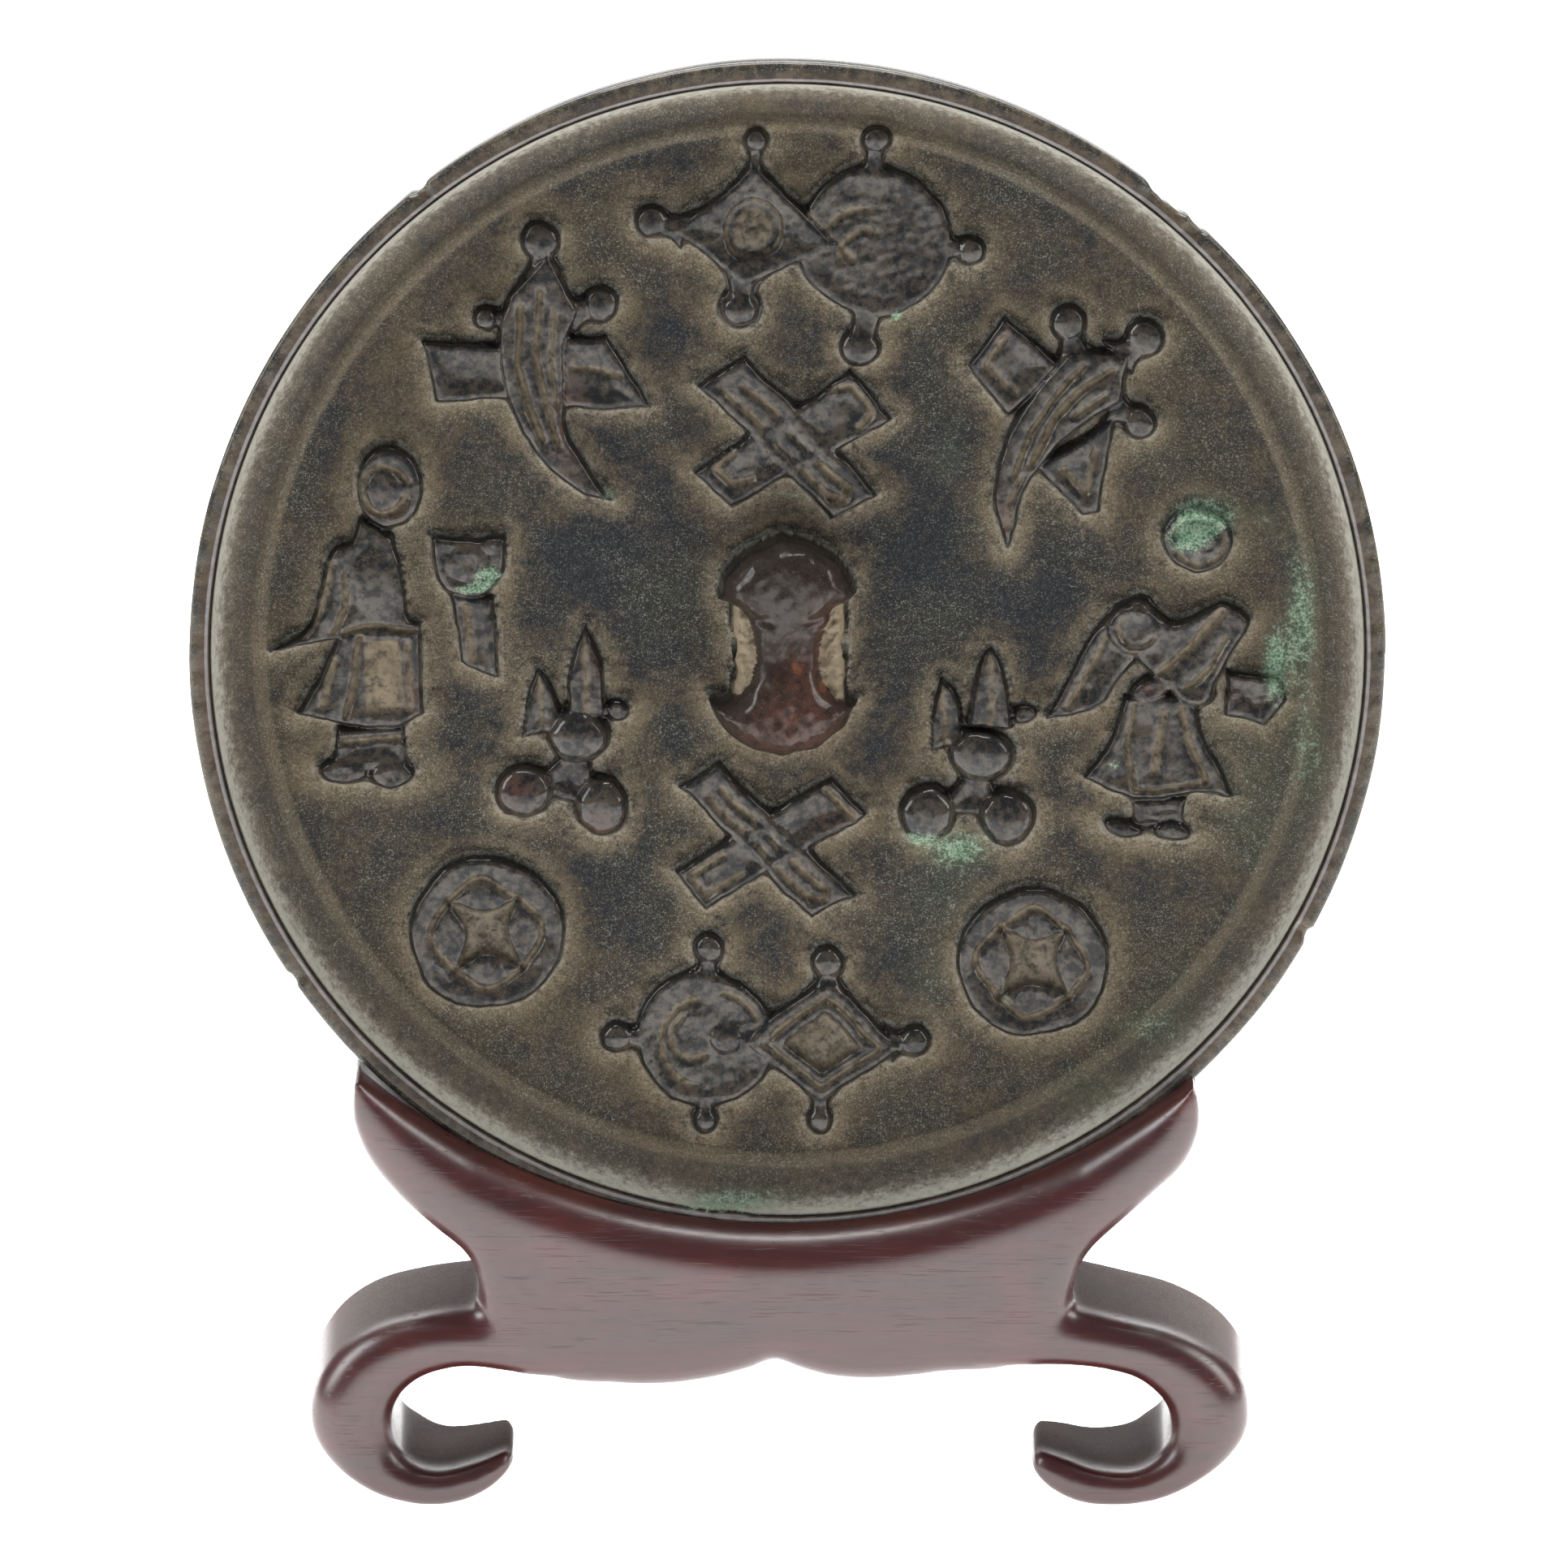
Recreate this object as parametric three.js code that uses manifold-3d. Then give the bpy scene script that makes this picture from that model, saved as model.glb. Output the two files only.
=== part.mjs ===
// A cast bronze mirror, its relief side to the front, in a carved rosewood stand.
// Millimetres. X runs to the right, Y to the back, Z up. The origin is on the ground, under the middle.
import * as THREE from "three";
import { mergeVertices } from "three/addons/utils/BufferGeometryUtils.js";
import Module from "manifold-3d";

// ---- Driving sizes of the mirror ----
const mirrorRadius = 42.5; // at the front of the rim
const backRadius = 42.0; // the outer wall tapers a little to the back
const edgeThickness = 4.8;
const rimHeight = 3.2; // from the ground of the relief to the flat top of the rim
const rimFlat = 1.35; // width of the flat top
const coveRadius = 39.6; // where the hollow slope inside the rim ends
const ridgeRadius = 37.6; // low ridge that frames the relief
const ridgeHeight = 0.35;
const backCrown = 0.5; // the reflecting face at the back is slightly convex
const lean = THREE.MathUtils.degToRad(3.4); // the mirror leans back in its groove
const mirrorCentre = [0, -2.45, 61.5]; // middle of the plane that the rim's top lies in
const roundSteps = 64;

// ---- Driving sizes of the relief, above its ground ----
const reliefHeight = 1.0;
const lowRelief = 0.75;
const reliefEdge = 0.25; // chamfer round the top of each figure
const faceLength = 1.9; // of the facets along a curved edge
const sink = 0.5; // how far each raised shape goes down into the plate
const knobHeight = 5.0;
const cordHole = 1.5; // radius of the hole under the knob

// ---- Driving sizes of the stand ----
const standX = -0.5; // the carving sits a little to the left of the mirror's middle
const standFront = -8.25;
const standBack = 8.25;
const edgeRound = 1.8; // radius along the front and back edges
const lipRadius = 45.6; // of the arc along the top of the cradle
const lipBottom = 20.2; // height of that arc at its middle
const grooveGap = 0.35; // clear space between the mirror and the groove
const ridgeGap = 0.3; // the same in front of the rim

const wasm = await Module();
wasm.setup();
const { Manifold, Mesh } = wasm;

// ---- Solids from closed three.js geometries ----
function solidFrom(geometry) {
  const bare = geometry.index ? geometry.toNonIndexed() : geometry.clone();
  bare.deleteAttribute("normal");
  bare.deleteAttribute("uv");
  const merged = mergeVertices(bare, 1e-4);
  return new Manifold(
    new Mesh({
      numProp: 3,
      vertProperties: merged.attributes.position.array,
      triVerts: new Uint32Array(merged.index.array),
    }),
  );
}

function geometryFrom(solid) {
  const mesh = solid.getMesh();
  return new THREE.BufferGeometry()
    .setAttribute("position", new THREE.BufferAttribute(mesh.vertProperties, 3))
    .setIndex(new THREE.BufferAttribute(mesh.triVerts, 1))
    .toNonIndexed();
}

const join = (solids) => solids.reduce((whole, next) => whole.add(next));

// ---- Relief: shapes drawn in the mirror's own plane, x right and y up, z = 0 at the rim's top ----
const ground = -rimHeight;

function polygon(points) {
  return new THREE.Shape(points.map(([x, y]) => new THREE.Vector2(x, y)));
}

// A closed outline from runs of points: each run is a smooth curve, and the runs meet at corners.
function curvedOutline(runs) {
  const shape = new THREE.Shape();
  const vectors = runs.map((run) => run.map(([x, y]) => new THREE.Vector2(x, y)));
  shape.moveTo(vectors[0][0].x, vectors[0][0].y);
  for (const run of vectors) {
    if (run.length === 2) shape.lineTo(run[1].x, run[1].y);
    else shape.splineThru(run.slice(1));
  }
  return shape;
}

function disc(x, y, radius) {
  return new THREE.Shape().absarc(x, y, radius, 0, 2 * Math.PI, false);
}

function ellipse(x, y, halfWidth, halfHeight, turn = 0) {
  return new THREE.Shape().absellipse(x, y, halfWidth, halfHeight, 0, 2 * Math.PI, false, turn);
}

// The outline as corners about faceLength apart, without doubled points or points on a straight line.
function faceted(shape) {
  const points = shape.curves.flatMap((curve) => {
    const steps = curve.isLineCurve ? 1 : Math.max(4, Math.round(curve.getLength() / faceLength));
    return curve.getSpacedPoints(steps).slice(0, -1);
  });
  points.push(shape.curves.at(-1).getPoint(1));
  const apart = points.filter((point, i) => point.distanceTo(points.at(i - 1)) > 0.02);
  const bends = apart.filter((point, i) => {
    const before = point.clone().sub(apart.at(i - 1)).normalize();
    const after = apart[(i + 1) % apart.length].clone().sub(point).normalize();
    return Math.abs(before.cross(after)) > 1e-3;
  });
  return new THREE.Shape(bends);
}

function raised(shape, height = reliefHeight, edge = reliefEdge) {
  const geometry = new THREE.ExtrudeGeometry(faceted(shape), {
    depth: sink + height - 2 * edge,
    bevelThickness: edge,
    bevelSize: edge,
    bevelOffset: -edge,
    bevelSegments: 1,
  });
  geometry.translate(0, 0, ground - sink + edge);
  return solidFrom(geometry);
}

// A straight-sided cutter from the given height above the ground up through the relief.
function sunk(shape, floor) {
  const geometry = new THREE.ExtrudeGeometry(faceted(shape), {
    depth: reliefHeight + sink,
    bevelEnabled: false,
  });
  geometry.translate(0, 0, ground + floor);
  return solidFrom(geometry);
}

function ball(x, y, radius, height = radius) {
  const small = radius < 1.5;
  const geometry = new THREE.SphereGeometry(radius, small ? 8 : 12, small ? 4 : 6);
  geometry.rotateX(Math.PI / 2);
  geometry.scale(1, 1, height / radius);
  geometry.translate(x, y, ground);
  return solidFrom(geometry);
}

// A ball on a short tapered stem that grows out of a figure's edge.
function tassel(fromX, fromY, x, y, radius) {
  const along = new THREE.Vector2(x - fromX, y - fromY);
  const side = new THREE.Vector2(-along.y, along.x).normalize();
  const wide = radius * 1.1;
  const narrow = radius * 0.45;
  const stem = polygon([
    [fromX - side.x * wide, fromY - side.y * wide],
    [x - side.x * narrow, y - side.y * narrow],
    [x + side.x * narrow, y + side.y * narrow],
    [fromX + side.x * wide, fromY + side.y * wide],
  ]);
  return raised(stem, lowRelief, reliefEdge / 2).add(ball(x, y, radius, reliefHeight));
}

// A narrow groove along a line, cut down to the given height.
function grooveLine(x0, y0, x1, y1, width, floor) {
  const along = new THREE.Vector2(x1 - x0, y1 - y0);
  const side = new THREE.Vector2(-along.y, along.x).setLength(width / 2);
  return sunk(
    polygon([
      [x0 - side.x, y0 - side.y],
      [x1 - side.x, y1 - side.y],
      [x1 + side.x, y1 + side.y],
      [x0 + side.x, y0 + side.y],
    ]),
    floor,
  );
}

function between(a, b, share) {
  return [a[0] + (b[0] - a[0]) * share, a[1] + (b[1] - a[1]) * share];
}

// Two bars laid across each other. The upper bar has two grooves along it.
function crossedBars(upper, lower) {
  const [a, b, c, d] = upper;
  const grooves = [0.33, 0.68].map((share) => {
    const start = between(between(a, b, share), between(d, c, share), 0.1);
    const end = between(between(a, b, share), between(d, c, share), 0.9);
    return grooveLine(...start, ...end, 0.55, reliefHeight * 0.6);
  });
  return raised(polygon(lower), lowRelief).add(raised(polygon(upper)).subtract(join(grooves)));
}

// A coin with a square hole with hollowed sides, between four crescents.
function coin(x, y, radius, turn) {
  const half = radius * 0.4;
  const corner = (i) => {
    const angle = turn + Math.PI / 4 + (i * Math.PI) / 2;
    return [x + half * Math.SQRT2 * Math.cos(angle), y + half * Math.SQRT2 * Math.sin(angle)];
  };
  const hole = new THREE.Shape();
  hole.moveTo(...corner(0));
  for (const i of [1, 2, 3, 4]) {
    const middle = between(between(corner(i - 1), corner(i % 4), 0.5), [x, y], 0.55);
    hole.quadraticCurveTo(...middle, ...corner(i % 4));
  }
  const cuts = [sunk(hole, 0.05)];
  for (const i of [0, 1, 2, 3]) {
    const angle = turn + (i * Math.PI) / 2;
    const reach = radius * 0.66;
    const crescent = ellipse(
      x + reach * Math.cos(angle),
      y + reach * Math.sin(angle),
      radius * 0.11,
      radius * 0.36,
      angle,
    );
    cuts.push(sunk(crescent, reliefHeight * 0.55));
  }
  return raised(disc(x, y, radius), lowRelief + 0.1).subtract(join(cuts));
}

// Three pearls in a heap, with a flame above them and a small leaf on each side.
function pearls(top, left, right, flame, leaf, nub) {
  return join([
    ball(...top, 1.5),
    ball(...left, 1.4),
    ball(...right, 1.4),
    raised(curvedOutline(flame)),
    raised(curvedOutline(leaf), lowRelief),
    raised(polygon(nub), lowRelief, reliefEdge / 2),
  ]);
}

function lozengeAndDiscAbove() {
  const frame = [[-2.3, 34.9], [-8.2, 30], [-3, 26], [3.6, 29]];
  const lozenge = raised(polygon(frame)).subtract(sunk(disc(-2.45, 30.1, 2.2), 0.25));
  const rosette = raised(disc(6.2, 29.2, 5.4), lowRelief).subtract(
    sunk(disc(6.4, 29.2, 3.1), 0.5).subtract(sunk(disc(6.4, 29.2, 2.4), 0.45)),
  );
  return join([
    rosette,
    lozenge,
    tassel(-2.3, 33.8, -2.15, 36.5, 0.8),
    tassel(-7.3, 30, -9.7, 30.7, 1.1),
    tassel(-3, 27.2, -3.4, 24.3, 1.2),
    tassel(6.2, 33.6, 6.3, 36.6, 1),
    tassel(10.6, 29, 13, 28.4, 1),
    tassel(5.8, 24.8, 5.2, 21.6, 1.3),
  ]);
}

function lozengeAndDiscBelow() {
  const middle = [2.6, -28.9];
  const frame = [[2.7, -24], [8.2, -29.2], [2.4, -33.4], [-3.3, -28.9]];
  const inside = (share) => polygon(frame.map((corner) => between(middle, corner, share)));
  const band = sunk(inside(0.78), reliefHeight * 0.65).subtract(sunk(inside(0.66), reliefHeight * 0.6));
  const lozenge = raised(polygon(frame)).subtract(band).subtract(sunk(inside(0.46), 0.1));
  const rosette = raised(disc(-5.9, -28.6, 4.9), lowRelief).subtract(
    sunk(disc(-6.1, -28.8, 2.9), 0.5).subtract(sunk(disc(-6.1, -28.8, 2.3), 0.45)),
  );
  return join([
    rosette,
    lozenge,
    tassel(-5.8, -24.6, -5.7, -22.1, 1.1),
    tassel(-10, -28.6, -12.2, -28.5, 1.1),
    tassel(-5.9, -32.6, -5.9, -34.6, 0.9),
    tassel(2.7, -25, 2.8, -23, 1.1),
    tassel(7.4, -29, 9.2, -28.8, 1.15),
    tassel(2.4, -32.6, 2.25, -34.6, 0.9),
    tassel(-2.4, -28.9, -4.4, -28.7, 1.2),
  ]);
}

function leftHorn() {
  const body = curvedOutline([
    [[-17.1, 28.6], [-19.7, 25.5]],
    [[-19.7, 25.5], [-20.5, 22.3], [-19.9, 17.9], [-17.8, 13.9], [-15, 11.2], [-12.8, 10.3]],
    [[-12.8, 10.3], [-12.3, 10.9]],
    [[-12.3, 10.9], [-14.4, 13.2], [-15.7, 16.2], [-15.8, 20.4], [-15.7, 22.3], [-14.8, 24.2]],
    [[-14.8, 24.2], [-17.1, 28.6]],
  ]);
  const grooves = [
    grooveLine(-18.6, 24, -18.3, 17.4, 0.5, 0.6),
    grooveLine(-17.1, 24.6, -17.2, 16.4, 0.5, 0.6),
    grooveLine(-18.2, 16.4, -15.6, 12.8, 0.5, 0.6),
  ];
  return join([
    raised(polygon([[-25.9, 21.9], [-19.7, 21.9], [-19, 17.7], [-24.9, 17.6]]), lowRelief),
    raised(polygon([[-16, 22.5], [-12.8, 22.5], [-9.8, 17.3], [-16, 17.1]]), lowRelief),
    raised(body).subtract(join(grooves)),
    tassel(-17.4, 27, -17.55, 29.3, 1.3),
    tassel(-15.4, 24, -13.25, 24.7, 1.15),
    tassel(-19.4, 23.6, -21.4, 23.6, 0.8),
  ]);
}

function rightHorn() {
  const body = curvedOutline([
    [[20, 21.4], [24.2, 21.2]],
    [[24.2, 21.2], [23.8, 17.5]],
    [[23.8, 17.5], [21.9, 16.6], [19.2, 14.5], [17.2, 11.8], [16.2, 8.7], [15.8, 6.8]],
    [[15.8, 6.8], [15.1, 6.8]],
    [[15.1, 6.8], [14.6, 10.9], [15.5, 14.8], [17.5, 18.7], [20, 21.4]],
  ]);
  const grooves = [
    grooveLine(22.6, 19.8, 19, 16.6, 0.5, 0.6),
    grooveLine(20.6, 19.9, 17.3, 15.2, 0.5, 0.6),
    grooveLine(17.2, 14.6, 15.8, 10, 0.5, 0.6),
  ];
  return join([
    raised(polygon([[15.3, 23.7], [12.8, 20.25], [15.7, 16.6], [19.4, 20.5]]), lowRelief),
    raised(polygon([[17.6, 13.2], [20.9, 9.3], [22.2, 9.5], [22.9, 14.3], [23.3, 16.6]]), lowRelief),
    raised(body).subtract(join(grooves)),
    tassel(20.4, 21, 19.9, 23.3, 1.2),
    tassel(23.6, 20.9, 25.4, 22.3, 1.3),
    tassel(23.2, 17.2, 25, 16.1, 1.1),
  ]);
}

// An attendant in a long robe who holds up a banner.
function leftAttendant() {
  const robe = curvedOutline([
    [[-31.8, 7.4], [-30.2, 8.2], [-28, 7.6], [-26.6, 5.6], [-26.2, 2.2], [-25.9, -5.4]],
    [[-25.9, -5.4], [-28.8, -6], [-31.6, -5.4], [-34.9, -4.8]],
    [[-34.9, -4.8], [-33, -2.4], [-31.7, 0.4]],
    [[-31.7, 0.4], [-36.6, -0.3]],
    [[-36.6, -0.3], [-33.9, 1.2], [-32.4, 4], [-31.8, 7.4]],
  ]);
  const panel = sunk(polygon([[-29.7, 0.4], [-27.3, 0.4], [-27.2, -5], [-29.9, -5]]), 0.65);
  const flag = raised(polygon([[-23.4, 3.4], [-20.8, 3.2], [-20.4, -2.4], [-23, -1.4]]), lowRelief);
  return join([
    raised(ellipse(-28.2, 11.6, 2.2, 2.7), reliefHeight),
    raised(robe).subtract(panel),
    raised(polygon([[-31.4, -6], [-26.6, -6], [-27, -7.7], [-31, -7.7]]), lowRelief),
    raised(ellipse(-31, -9, 1.9, 1), lowRelief),
    raised(ellipse(-28, -9, 1.6, 1), lowRelief),
    raised(polygon([[-25.2, 7.7], [-20.1, 7.7], [-20.3, 3.5], [-24.9, 3.6]]), reliefHeight),
    flag,
  ]);
}

// An attendant with wide sleeves, hands folded, and a square object behind.
function rightAttendant() {
  const sleeve = curvedOutline([
    [[27.1, 3.4], [24.6, 3.5], [22.7, 1.8], [20.2, -2.4], [18.5, -5.6]],
    [[18.5, -5.6], [21.5, -4.9], [23.5, -3.2], [27.1, 3.4]],
  ]);
  const arm = curvedOutline([
    [[26, 2.2], [29, 3.2], [31.1, 3.2], [33, 1.6]],
    [[33, 1.6], [31.5, -1.3], [29.6, -4], [28.2, -4]],
    [[28.2, -4], [25, -3.4], [24.2, -1], [26, 2.2]],
  ]);
  const skirt = curvedOutline([
    [[23.5, -3.6], [22, -6.6], [21.1, -9.5]],
    [[21.1, -9.5], [24.3, -11.1], [27.5, -11.3], [31.7, -10.9]],
    [[31.7, -10.9], [30.4, -7.7], [29, -5.3], [28.6, -3.4]],
    [[28.6, -3.4], [23.5, -3.6]],
  ]);
  const folds = [[23.6, -10], [26, -10.6], [28.6, -10.4]].map(([x, y]) =>
    grooveLine(26.2, -4.6, x, y, 0.45, 0.6),
  );
  return join([
    raised(ellipse(29.2, 7.6, 2.4, 2.5)),
    raised(skirt, 0.9).subtract(join(folds)),
    raised(sleeve, 0.9),
    raised(arm, 1.1),
    raised(ellipse(24.9, 0.95, 1.9, 1.9), 1.15),
    raised(ellipse(25.8, -3.1, 1.7, 1.3), 1.1),
    raised(polygon([[31, -1.8], [34.9, -2.1], [35.6, -4], [34, -5.8], [30.4, -5]]), lowRelief),
    raised(polygon([[22.4, -12.4], [24.6, -11.9], [24.8, -13.3], [22.3, -13.5]]), lowRelief, 0.2),
    raised(polygon([[26, -12.2], [28.2, -12.4], [28.8, -14.1], [26.6, -14]]), lowRelief, 0.2),
  ]);
}

// The knob: a silver ingot with two round ends, a low waist between them, and the cord's hole under it.
function ingotKnob() {
  const outline = new THREE.Shape();
  outline.moveTo(-4.6, 4.2);
  outline.bezierCurveTo(-3.6, 8.6, 3.9, 8.8, 4.9, 4.3);
  outline.bezierCurveTo(3.2, 2.6, 3.2, -2, 4.9, -3.6);
  outline.bezierCurveTo(3.6, -8.4, -4, -8.4, -5.2, -3.8);
  outline.bezierCurveTo(-3.2, -2, -3.2, 2.6, -4.6, 4.2);
  const round = 0.9;
  const block = new THREE.ExtrudeGeometry(outline, {
    depth: knobHeight + sink - 2 * round,
    bevelThickness: round,
    bevelSize: round,
    bevelOffset: -round,
    bevelSegments: 3,
    curveSegments: 8,
  });
  block.translate(0, 0, ground - sink + round);
  const saddle = new THREE.CylinderGeometry(5.2, 5.2, 20, 40);
  saddle.rotateZ(Math.PI / 2);
  saddle.translate(0, 0.3, ground + 3.7 + 5.2);
  const hole = new THREE.CylinderGeometry(cordHole, cordHole, 20, 20);
  hole.rotateZ(Math.PI / 2);
  hole.translate(0, 0.3, ground + cordHole + 0.15);
  return solidFrom(block).subtract(solidFrom(saddle)).subtract(solidFrom(hole));
}

// ---- The mirror's plate and rim, turned on its axis ----
function plate() {
  const profile = [
    [0, -edgeThickness - backCrown],
    [mirrorRadius * 0.5, -edgeThickness - backCrown * 0.75],
    [backRadius - 0.4, -edgeThickness],
    [backRadius, -edgeThickness + 0.4],
    [mirrorRadius, -0.35],
    [mirrorRadius - 0.3, 0],
    [mirrorRadius - rimFlat, 0],
    [mirrorRadius - rimFlat - 0.25, -0.5],
    [coveRadius + 0.75, ground + 1.1],
    [coveRadius, ground + 0.3],
    [coveRadius - 0.8, ground],
    [ridgeRadius + 0.7, ground],
    [ridgeRadius, ground + ridgeHeight],
    [ridgeRadius - 0.7, ground],
    [0, ground],
  ];
  const points = profile.map(([radius, height]) => new THREE.Vector2(radius, height));
  const geometry = new THREE.LatheGeometry(points, roundSteps);
  geometry.rotateX(Math.PI / 2);
  return solidFrom(geometry);
}

// Small chips broken out of the rim, each at an angle in degrees from the right-hand side.
function rimChip(degrees, length, depth) {
  const angle = THREE.MathUtils.degToRad(degrees);
  const geometry = new THREE.BoxGeometry(depth * 2, length, 1.6);
  geometry.rotateY(0.5);
  geometry.rotateZ(angle);
  const reach = mirrorRadius + depth * 0.2;
  geometry.translate(reach * Math.cos(angle), reach * Math.sin(angle), 0.2);
  return solidFrom(geometry);
}

function mirror() {
  const emblems = [
    ingotKnob(),
    lozengeAndDiscAbove(),
    lozengeAndDiscBelow(),
    leftHorn(),
    rightHorn(),
    crossedBars(
      [[-6.3, 18.9], [-2.7, 21.1], [6.45, 10.95], [3, 9.4]],
      [[4.6, 19.8], [7.5, 16.5], [-4, 10], [-6.6, 12.6]],
    ),
    crossedBars(
      [[-7.6, -10.2], [-4.9, -8.4], [4.9, -18.2], [1.6, -19.9]],
      [[3.1, -9.6], [5.75, -12.1], [-5.8, -19.1], [-8.1, -16.5]],
    ),
    leftAttendant(),
    rightAttendant(),
    pearls(
      [-14.9, -6.5, 2.15],
      [-18.8, -10.6, 2.05],
      [-13.1, -11.7, 2],
      [[[-15.6, -3.5], [-15.4, -0.6], [-14.3, 1.4]], [[-14.3, 1.4], [-13.2, -0.8], [-12.8, -4]],
        [[-12.8, -4], [-15.6, -3.5]]],
      [[[-18.4, -5.6], [-17.9, -3.4], [-17.6, -1.8]], [[-17.6, -1.8], [-16.4, -3], [-15.6, -5]],
        [[-15.6, -5], [-18.4, -5.6]]],
      [[-13, -3.6], [-11.4, -4], [-12, -6.4], [-13.4, -6]],
    ),
    pearls(
      [13.8, -8, 2.25],
      [10.05, -12.2, 2.1],
      [15.7, -12.7, 2.05],
      [[[13, -4], [13.3, -1.8], [14.3, -0.1]], [[14.3, -0.1], [15.3, -2], [16, -4.6]],
        [[16, -4.6], [13, -4]]],
      [[[10.1, -6.6], [10.4, -4], [11, -2.5]], [[11, -2.5], [12.4, -3.6], [13, -5.6]],
        [[13, -5.6], [10.1, -6.6]]],
      [[15.6, -5], [17.2, -5.2], [17, -7.4], [15.6, -7]],
    ),
    coin(-21.4, -20.8, 5.5, 0.1),
    coin(17.55, -23, 5.45, -0.05),
  ];
  const whole = join([plate(), ...emblems]);
  return whole.subtract(join([rimChip(50, 3.2, 0.9), rimChip(128, 1.2, 0.6)]));
}

// ---- The stand: bands lofted between an upper and a lower edge, with rounded corners ----
// Each station is [upper x, upper z, lower x, lower z, narrowing of the back].
function band(stations, stepsBetween, isFoot = false) {
  const edge = (column) =>
    new THREE.SplineCurve(
      stations.map((station) => new THREE.Vector2(station[column], station[column + 1])),
    );
  const upper = edge(0);
  const lower = edge(2);
  const taperAt = (i) => stations[Math.min(i, stations.length - 1)][4] || 0;
  const backTaper = (place) =>
    THREE.MathUtils.lerp(taperAt(Math.floor(place)), taperAt(Math.floor(place) + 1), place % 1);
  // The tip of a foot is rounded in plan, most of all at the back.
  const frontNose = (t) => {
    const along = THREE.MathUtils.clamp((t - 0.74) / 0.26, 0, 1);
    return 3.5 * (1 - Math.sqrt(1 - 0.98 * along * along));
  };
  const backNose = (t) => 8.6 * THREE.MathUtils.clamp((t - 0.6) / 0.4, 0, 1);
  const cornerSteps = 3;
  const count = (stations.length - 1) * stepsBetween + 1;
  const ring = [];
  const positions = [];
  for (let i = 0; i < count; i++) {
    const t = i / (count - 1);
    const a = upper.getPoint(t);
    const b = lower.getPoint(t);
    const width = a.distanceTo(b);
    const round = Math.min(edgeRound, 0.46 * width);
    const narrow = backTaper(t * (stations.length - 1)) * width;
    for (let corner = 0; corner < 4; corner++) {
      const atLower = corner === 1 || corner === 2;
      const atBack = corner >= 2;
      const front = standFront + (isFoot ? frontNose(t) : 0);
      const back = standBack - (isFoot ? backNose(t) : 0);
      for (let k = 0; k < cornerSteps; k++) {
        const turn = ((corner + k / (cornerSteps - 1)) * Math.PI) / 2;
        const across = atLower ? width - round - (atBack ? narrow : 0) : round;
        const s = across - Math.cos(turn) * round;
        const deep = atBack ? back - round : front + round;
        const y = deep - Math.sin(turn) * round;
        positions.push([a.x + ((b.x - a.x) * s) / width, y, a.y + ((b.y - a.y) * s) / width]);
      }
    }
    ring.push(i * 4 * cornerSteps);
  }
  const size = 4 * cornerSteps;
  const triangles = [];
  for (let i = 0; i + 1 < count; i++)
    for (let k = 0; k < size; k++) {
      const next = (k + 1) % size;
      triangles.push([ring[i] + k, ring[i + 1] + k, ring[i + 1] + next]);
      triangles.push([ring[i] + k, ring[i + 1] + next, ring[i] + next]);
    }
  for (let k = 1; k + 1 < size; k++) {
    triangles.push([ring[0], ring[0] + k, ring[0] + k + 1]);
    triangles.push([ring[count - 1], ring[count - 1] + k + 1, ring[count - 1] + k]);
  }
  const runsRight = stations[1][0] > stations[0][0];
  const outward = triangles.map(([p, q, r]) => (runsRight ? [p, r, q] : [p, q, r]));
  const geometry = new THREE.BufferGeometry();
  const flat = new Float32Array(outward.flat().flatMap((index) => positions[index]));
  geometry.setAttribute("position", new THREE.BufferAttribute(flat, 3));
  return solidFrom(geometry);
}

const lipHeight = (x) => lipBottom + lipRadius - Math.sqrt(lipRadius ** 2 - x ** 2);
const onLip = (x, lowerX, lowerZ, narrow = 0) => [x, lipHeight(x), lowerX, lowerZ, narrow];

function cradle() {
  return band(
    [
      onLip(-30.1, -30.3, 31.2, 0.4),
      onLip(-29.3, -30.4, 29, 0.4),
      onLip(-28, -30.1, 27.3, 0.35),
      onLip(-26.3, -29.1, 25, 0.25),
      onLip(-24.3, -27, 22.4, 0.1),
      onLip(-22.6, -24.6, 20.2),
      onLip(-21.3, -22.6, 18.5),
      onLip(-20.3, -21.6, 16.7),
      onLip(-19.3, -21.3, 14.3),
      onLip(-17.8, -20, 11),
      onLip(-15.5, -16, 8.9),
      onLip(-12, -12, 8.2),
      onLip(-8.5, -8.5, 8.1),
      onLip(-5, -5, 8.55),
      onLip(-2.4, -2.2, 9.3),
      onLip(-0.4, -0.4, 9.95),
      onLip(1.6, 1.4, 9.3),
      onLip(4, 4, 8.65),
      onLip(7.5, 7.5, 8.55),
      onLip(11.5, 11.5, 9),
      onLip(15.5, 16, 9.7),
      onLip(17.8, 19.2, 11.4),
      onLip(19.3, 20.6, 14.4),
      onLip(20.3, 21.2, 17),
      onLip(21.3, 22.3, 18.8),
      onLip(22.7, 24.2, 20.6),
      onLip(24.4, 26.6, 22.8, 0.1),
      onLip(26, 28.7, 24.9, 0.25),
      onLip(27.4, 29.7, 27.3, 0.35),
      onLip(28.4, 29.8, 29.4, 0.4),
      onLip(29.1, 29.3, 31.3, 0.4),
    ],
    1,
  );
}

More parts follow.
